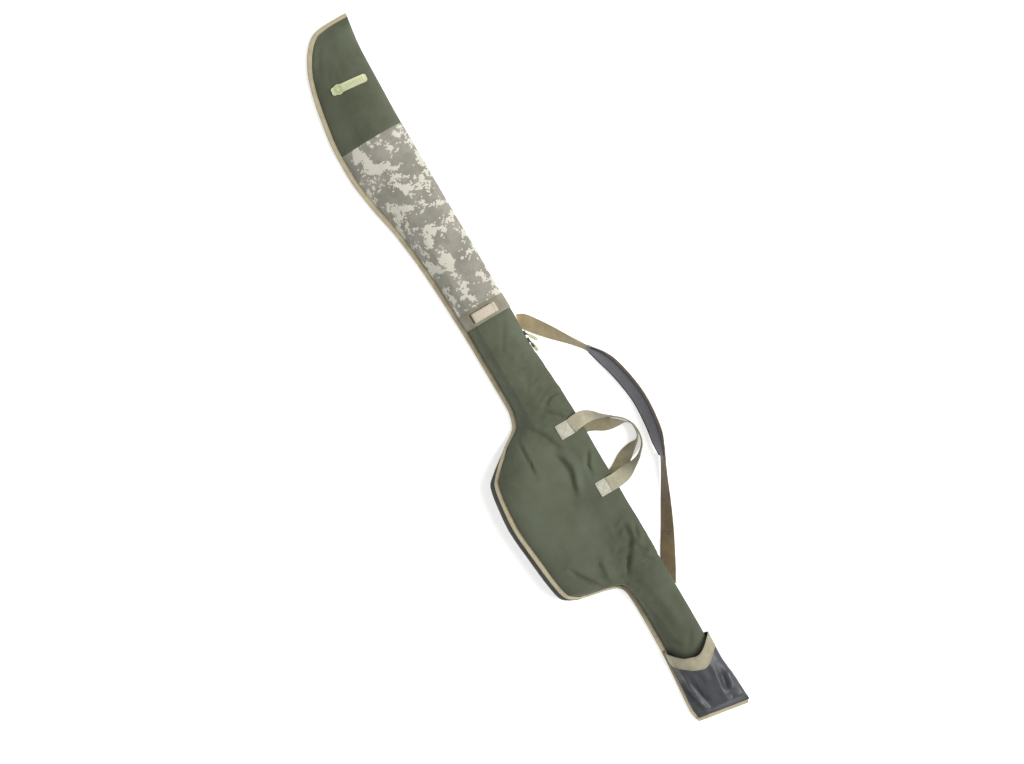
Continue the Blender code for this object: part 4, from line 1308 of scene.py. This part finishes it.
def box_stitch(place, half_u, half_v, inset=3.5):
    """Courses of a sewn box with a cross in it; place(u, v) gives a point and its up."""
    u, v = half_u - inset, half_v - inset
    lines = [((-u, -v), (u, -v)), ((u, -v), (u, v)), ((u, v), (-u, v)), ((-u, v), (-u, -v))]
    lines += [((-u, -v), (u, v)), ((-u, v), (u, -v))]
    courses = []
    for a, b in lines:
        count = max(4, int(math.hypot(b[0] - a[0], b[1] - a[1]) / 5))
        courses.append([place(a[0] + (b[0] - a[0]) * t, a[1] + (b[1] - a[1]) * t) for t in np.linspace(0, 1, count)])
    return courses


FRONT_HANDLE_BOXES = {"upper": (-177.0, -6.0, -43.0), "lower": (-349.0, -20.0, -52.0)}


def make_front_handle():
    ends = []
    for which, (x, y0, y1) in FRONT_HANDLE_BOXES.items():
        name = f"front_handle_{which}_webbing"
        patch = cloth_patch(name, (x - 19, x + 19), (y1 + 0.4, y0), 0.2, 2.4, "handle", (9, 11), 1.0, 0.25)
        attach(patch, "cover")
        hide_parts(f"front_handle_{which}_end")
        middle = (y0 + y1) / 2
        courses = box_stitch(lambda u, v: (on_front(x + u, middle + v, 2.72), (0, 0, 1)), 19, (y0 - y1) / 2)
        thread = stitches(f"front_handle_{which}_stitches", courses, "pale_thread", 3.4, 2.5, 0.36)
        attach(thread, "cover")
        ends.append(on_front(x, y1, 1.6))
    (x0, y0, z0), (x1, y1, z1) = ends
    route = [
        (x0, y0 + 1.5, z0 + 1.6, 0), (-174, -58, 61.5, -3), (-174, -77, 58, -14), (-181, -96, 50, -44),
        (-192, -115, 42, -70), (-208, -141, 28.5, -84), (-227, -165, 22.5, -88), (-252, -179, 21, -89),
        (-283, -180, 21, -89), (-307, -171, 21.5, -87), (-326, -149, 27, -80), (-338, -120, 41, -54),
        (-346, -96, 50, -20), (-349, -74, 57.5, -5), (x1, y1 + 1.5, z1 + 1.6, 0),
    ]
    # The loop's darker webbing is painted shade.
    handle, _, _ = ribbon("front_handle_loop", route, webbing_profile(), "handle_loop")
    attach(handle, "front_handle")
    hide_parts("front_handle")


def upright_patch(name, x, slot, node, body="case"):
    """A webbing end sewn flat on the zip wall, with its box stitch."""
    outer, inner = [], []
    for x_at in np.linspace(x - 19, x + 19, 9):
        row, under = [], []
        for z in np.linspace(1.6, 22.5, 7):
            bulge = 0.3 * math.sin(z * 0.5)
            row.append((x_at, -58.9 - bulge, z))
            under.append((x_at, -56.9, z))
        outer.append(row)
        inner.append(under)
    made = thick_sheet(name, np.array(outer), np.array(inner), (slot, slot))
    add_lay(made, lambda p: (p.z, p.x, 0.0))
    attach(made, body)
    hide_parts(node)
    courses = box_stitch(lambda u, v: ((x + u, -59.3, 12.2 + v), (0, -1, 0)), 19, 10)
    thread = stitches(name + "_stitches", courses, "pale_thread", 3.4, 2.5, 0.36)
    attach(thread, body)


def make_back_handle():
    for which, x in (("upper", -190.0), ("lower", -341.0)):
        upright_patch(f"back_handle_{which}_webbing", x, "handle", f"back_handle_{which}_end")
    route = [
        (-190, -59.7, 1.7, 0), (-193, -76, 3, -2), (-201, -96, 5.5, -8), (-216, -119, 10, -24),
        (-227, -145, 17.5, -60), (-236, -164, 20.2, -86), (-248, -176, 20.2, -88), (-272, -177, 20.2, -88),
        (-289, -168, 20.2, -86), (-298, -148, 17.5, -60), (-311, -120, 10, -24), (-327, -97, 5.5, -8),
        (-337, -78, 3, -2), (-341, -59.7, 1.7, 0),
    ]
    # The back loop's darker webbing is painted shade.
    handle, _, _ = ribbon("back_handle_loop", route, webbing_profile(), "handle_shade")
    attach(handle, "back_handle")
    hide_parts("back_handle")


def make_shoulder_strap():
    upright_patch("strap_upper_sewn", 114.0, "strap", "strap_upper_end")
    # The lower sewn end's darker webbing is painted shade.
    upright_patch("strap_lower_sewn", -604.0, "strap_dark", "strap_lower_end")
    upper = [
        (114, -59.7, 1.8, 0), (108, -72, 2.8, -2), (82, -92, 8, -14), (49, -117, 14, -36),
        (14, -144, 19, -60), (-20, -169, 22.5, -72), (-40, -180, 24, -72),
    ]
    pad = [
        (-26, -175, 27, -72), (-70, -196, 29.5, -64), (-128, -213, 29.5, -60), (-200, -223, 29.5, -60),
        (-270, -219, 29.5, -62), (-330, -208, 29.5, -68), (-366, -200, 27, -76),
    ]
    lower = [
        (-350, -206, 24, -72), (-366, -198, 22.5, -74), (-410, -176, 20.5, -66), (-460, -151, 17.5, -50),
        (-519, -121, 13, -34), (-566, -95, 7, -16), (-607, -73, 3, -4), (-640, -54, 2, 0),
    ]
    piece, _, _ = ribbon("shoulder_strap_upper", upper, webbing_profile(), "strap")
    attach(piece, "shoulder_strap")
    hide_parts("strap_upper_webbing")
    # The lower webbing's darker colour is painted shade.
    piece, centres, acrosses = ribbon("shoulder_strap_lower", lower, webbing_profile(), "strap_dark")
    for vertex in piece.data.vertices:
        vertex.co.y = min(vertex.co.y, -59.4 * MM)
    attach(piece, "shoulder_strap")
    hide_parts("strap_lower_webbing")
    k = int(np.argmin([abs(c[0] + 519) for c in centres]))
    along = centres[k + 1] - centres[k]
    up = np.cross(acrosses[k], along / np.linalg.norm(along))
    up = up if up[2] > 0 else -up
    row = [(centres[k] + acrosses[k] * u + up * 1.2, tuple(up)) for u in (-17, 0, 17)]
    thread = stitches("strap_cross_seam", [row, [(p + along * 0.8, u) for p, u in row]], "pale_thread", 3.2, 2.4, 0.4)
    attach(thread, "shoulder_strap")

    def pad_profile(t, walked):
        ends = min(t, 1 - t)
        reach = min(1.0, ends / 0.17)
        half = 9 + 18 * math.sin(reach * math.pi / 2) ** 0.8
        full = 1.6 + 2.2 * min(1.0, ends / 0.08)
        wave = 0.35 * math.sin(walked * 0.16) * reach
        top = []
        for i in range(13):
            a = -1 + 2 * i / 12
            lift = full * (1 - a**4) ** 0.5 * (1 - 0.25 * math.exp(-((abs(a) - 0.72) / 0.09) ** 2))
            top.append((-a * half, lift + wave * (1 - a * a)))
        bottom = [(-a, -b * 0.55) for a, b in top[1:-1]]
        return top + [(a, b) for a, b in bottom]

    def mesh_side(i, j):
        return 0

    padding, centres, acrosses = ribbon("shoulder_pad_soft", pad, pad_profile, ("pad",), shift=2.0, slot_of=mesh_side)
    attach(padding, "shoulder_strap")
    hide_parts("shoulder_pad")
    band, _, _ = ribbon("pad_webbing_outside", pad, webbing_profile(WEBBING, 1.8), "strap",
                        shift=-8.0, extra=14.0, ease=0.22)
    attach(band, "shoulder_strap")
    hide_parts("pad_webbing")
    edge = []
    count = len(centres)
    for side in (-1, 1):
        course = []
        for i in range(3, count - 3):
            t = i / (count - 1)
            half = max(abs(a) for a, _ in pad_profile(t, 0.0))
            course.append((centres[i] + acrosses[i] * side * (half - 0.8), acrosses[i] * side))
        edge.append(course)
    tubes = []
    for k, course in enumerate(edge):
        shape = [(1.7 * math.cos(t), 2.6 * math.sin(t)) for t in np.linspace(0, 2 * math.pi, 11)[:-1]]
        tubes.append(sweep(f"pad_edge_{k}", *zip(*course), shape, ("pad_edge",)))
    rim = joined("shoulder_pad_edge_tape", tubes)
    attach(rim, "shoulder_strap")


def teeth_row(name, x0, x1, z_root, z_tip, pitch=2.0, phase=0.0):
    """One side of a coil zip: rounded loops that stand out from the tape's edge."""
    points, faces = [], []
    shape = [(math.cos(a), math.sin(a)) for a in np.linspace(0, 2 * math.pi, 7)[:-1]]
    count = int((x1 - x0) / pitch)
    for n in range(count):
        x = x0 + (n + 0.5 + phase) * pitch
        base = len(points)
        for t, size in ((0.0, 0.75), (0.55, 0.62), (0.85, 0.8), (1.0, 0.4)):
            z = z_root + (z_tip - z_root) * t
            for a, b in shape:
                points.append((x + 0.62 * size * a, ZIP_Y + 1.25 * size * b, z))
        for r in range(3):
            for k in range(6):
                a, b = base + r * 6 + k, base + r * 6 + (k + 1) % 6
                faces.append([a, b, b + 6, a + 6])
        faces.append([base + k for k in range(5, -1, -1)])
        faces.append([base + 18 + k for k in range(6)])
    made = finish_mesh(name, points, faces, ("coil",))
    flip_if_inside_out(made)
    return made


def tape_strip(name, x0, x1, z0, z1, y_bend):
    """A zip tape: stands at the teeth and turns under the cloth beside it."""
    upper, lower = [], []
    for x in rows_between(x0, x1, 12):
        line = [(x, ZIP_Y, z0), (x, ZIP_Y, (z0 + z1) / 2)]
        line += [(x, ZIP_Y + 0.2 * y_bend, z1), (x, ZIP_Y + y_bend, z1 + 0.5)]
        upper.append([(a, b - 0.55, c) for a, b, c in line])
        lower.append([(a, b + 0.55, c) for a, b, c in line])
    made = thick_sheet(name, np.array(upper), np.array(lower), ("zip_tape", "zip_tape"))
    add_lay(made, lambda p: (p.x, p.z, 0.0))
    return made


def make_zip():
    x0, x1 = FLAP_END_X + 4, HOOD_X - 4
    tape = tape_strip("zip_tape_lower_row", x0, x1, 28.0, 23.6, -0.6)
    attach(tape, "case")
    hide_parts("zip_tape_back")
    teeth = teeth_row("zip_coil_lower_row", x0, x1, 27.2, 30.2)
    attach(teeth, "case")
    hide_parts("zip_teeth_back")
    halves = (("tip", 64.0, x1, HOOD_X), ("butt", x0, 64.0, FLAP_END_X))
    for k, (end, a, b, from_x) in enumerate(halves):
        tape = tape_strip(f"zip_tape_upper_row_{end}", a, b, 32.2, 37.4, -0.4)
        blended(tape, from_x)
        teeth = teeth_row(f"zip_coil_upper_row_{end}", a, b, 33.0, 30.4, 2.0, 0.5)
        blended(teeth, from_x)
        if k == 0:
            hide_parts("zip_tape_cover")
            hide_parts("zip_teeth_cover")


def make_grip(which, x, angle, z0, z1):
    """A moulded zip pull: a rounded tongue with a raised rim, a sunk middle and cross ribs."""
    pivot = np.array((x, ZIP_Y - 6.7))
    turn = math.radians(angle)
    along = np.array((-math.cos(turn), -math.sin(turn)))
    across = np.array((-along[1], along[0]))
    middle_z, half_z = (z0 + z1) / 2, (z1 - z0) / 2

    def place(a, b, z):
        spot = pivot + along * a + across * b
        return (spot[0], spot[1], z)

    outline_points = []
    for i in range(9):
        t = math.pi * i / 8
        outline_points.append((33.0 + 3.6 * math.sin(t), 3.9 * math.cos(t)))
    outline_points += [(24, -4.7), (16, -4.4), (10.5, -3.2), (9.2, -1.6)]
    outline_points += [(9.2, 1.6), (10.5, 3.2), (16, 4.4), (24, 4.7)]
    centre = (22.0, 0.0)
    rings = [(0.86, -1.0), (0.97, -0.75), (1.0, 0.0), (0.97, 0.75), (0.86, 1.0), (0.62, 1.0), (0.54, 0.45)]
    points, faces = [], []
    for size, level in rings:
        for a, b in outline_points:
            points.append(place(centre[0] + (a - centre[0]) * (0.5 + 0.5 * size), b * size, middle_z + half_z * level))
    count = len(outline_points)
    for r in range(len(rings) - 1):
        for i in range(count):
            j = (i + 1) % count
            faces.append([r * count + i, r * count + j, (r + 1) * count + j, (r + 1) * count + i])
    faces.append(list(range(count))[::-1])
    faces.append([(len(rings) - 1) * count + i for i in range(count)])
    grip = finish_mesh(f"{which}_pull_moulded_grip", points, faces, ("rubber",))
    flip_if_inside_out(grip)
    grip.data.set_sharp_from_angle(angle=math.radians(50))
    ribs = []
    for k, a in enumerate((16.5, 20.5, 24.5, 28.5)):
        line = [place(a, b, middle_z + half_z * 0.5) for b in (-1.9, 0, 1.9)]
        shape = [(0.7 * math.cos(t), 0.5 * math.sin(t)) for t in np.linspace(0, 2 * math.pi, 9)[:-1]]
        ribs.append(sweep(f"{which}_rib_{k}", line, [(along[0], along[1], 0)] * 3, shape, ("badge_mark",)))
    ribs = joined(f"{which}_pull_grip_ribs", ribs)
    for piece in (grip, ribs):
        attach(piece, f"{which}_pull")
    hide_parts(f"{which}_pull_grip")


def make_hardware():
    """The parts whose CAD shape is right keep it and get their metal."""
    names = ("upper_slider", "lower_slider", "upper_pull_link", "lower_pull_link", "zip_stop_tip", "zip_stop_butt")
    for name in names:
        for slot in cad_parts[name].material_slots:
            slot.material = MATERIALS["metal"]


make_front_handle()
make_back_handle()
make_shoulder_strap()
make_zip()
make_grip("upper", 81.0, 30.0, 32.6, 35.2)
make_grip("lower", 61.0, 8.0, 25.0, 27.6)
make_hardware()
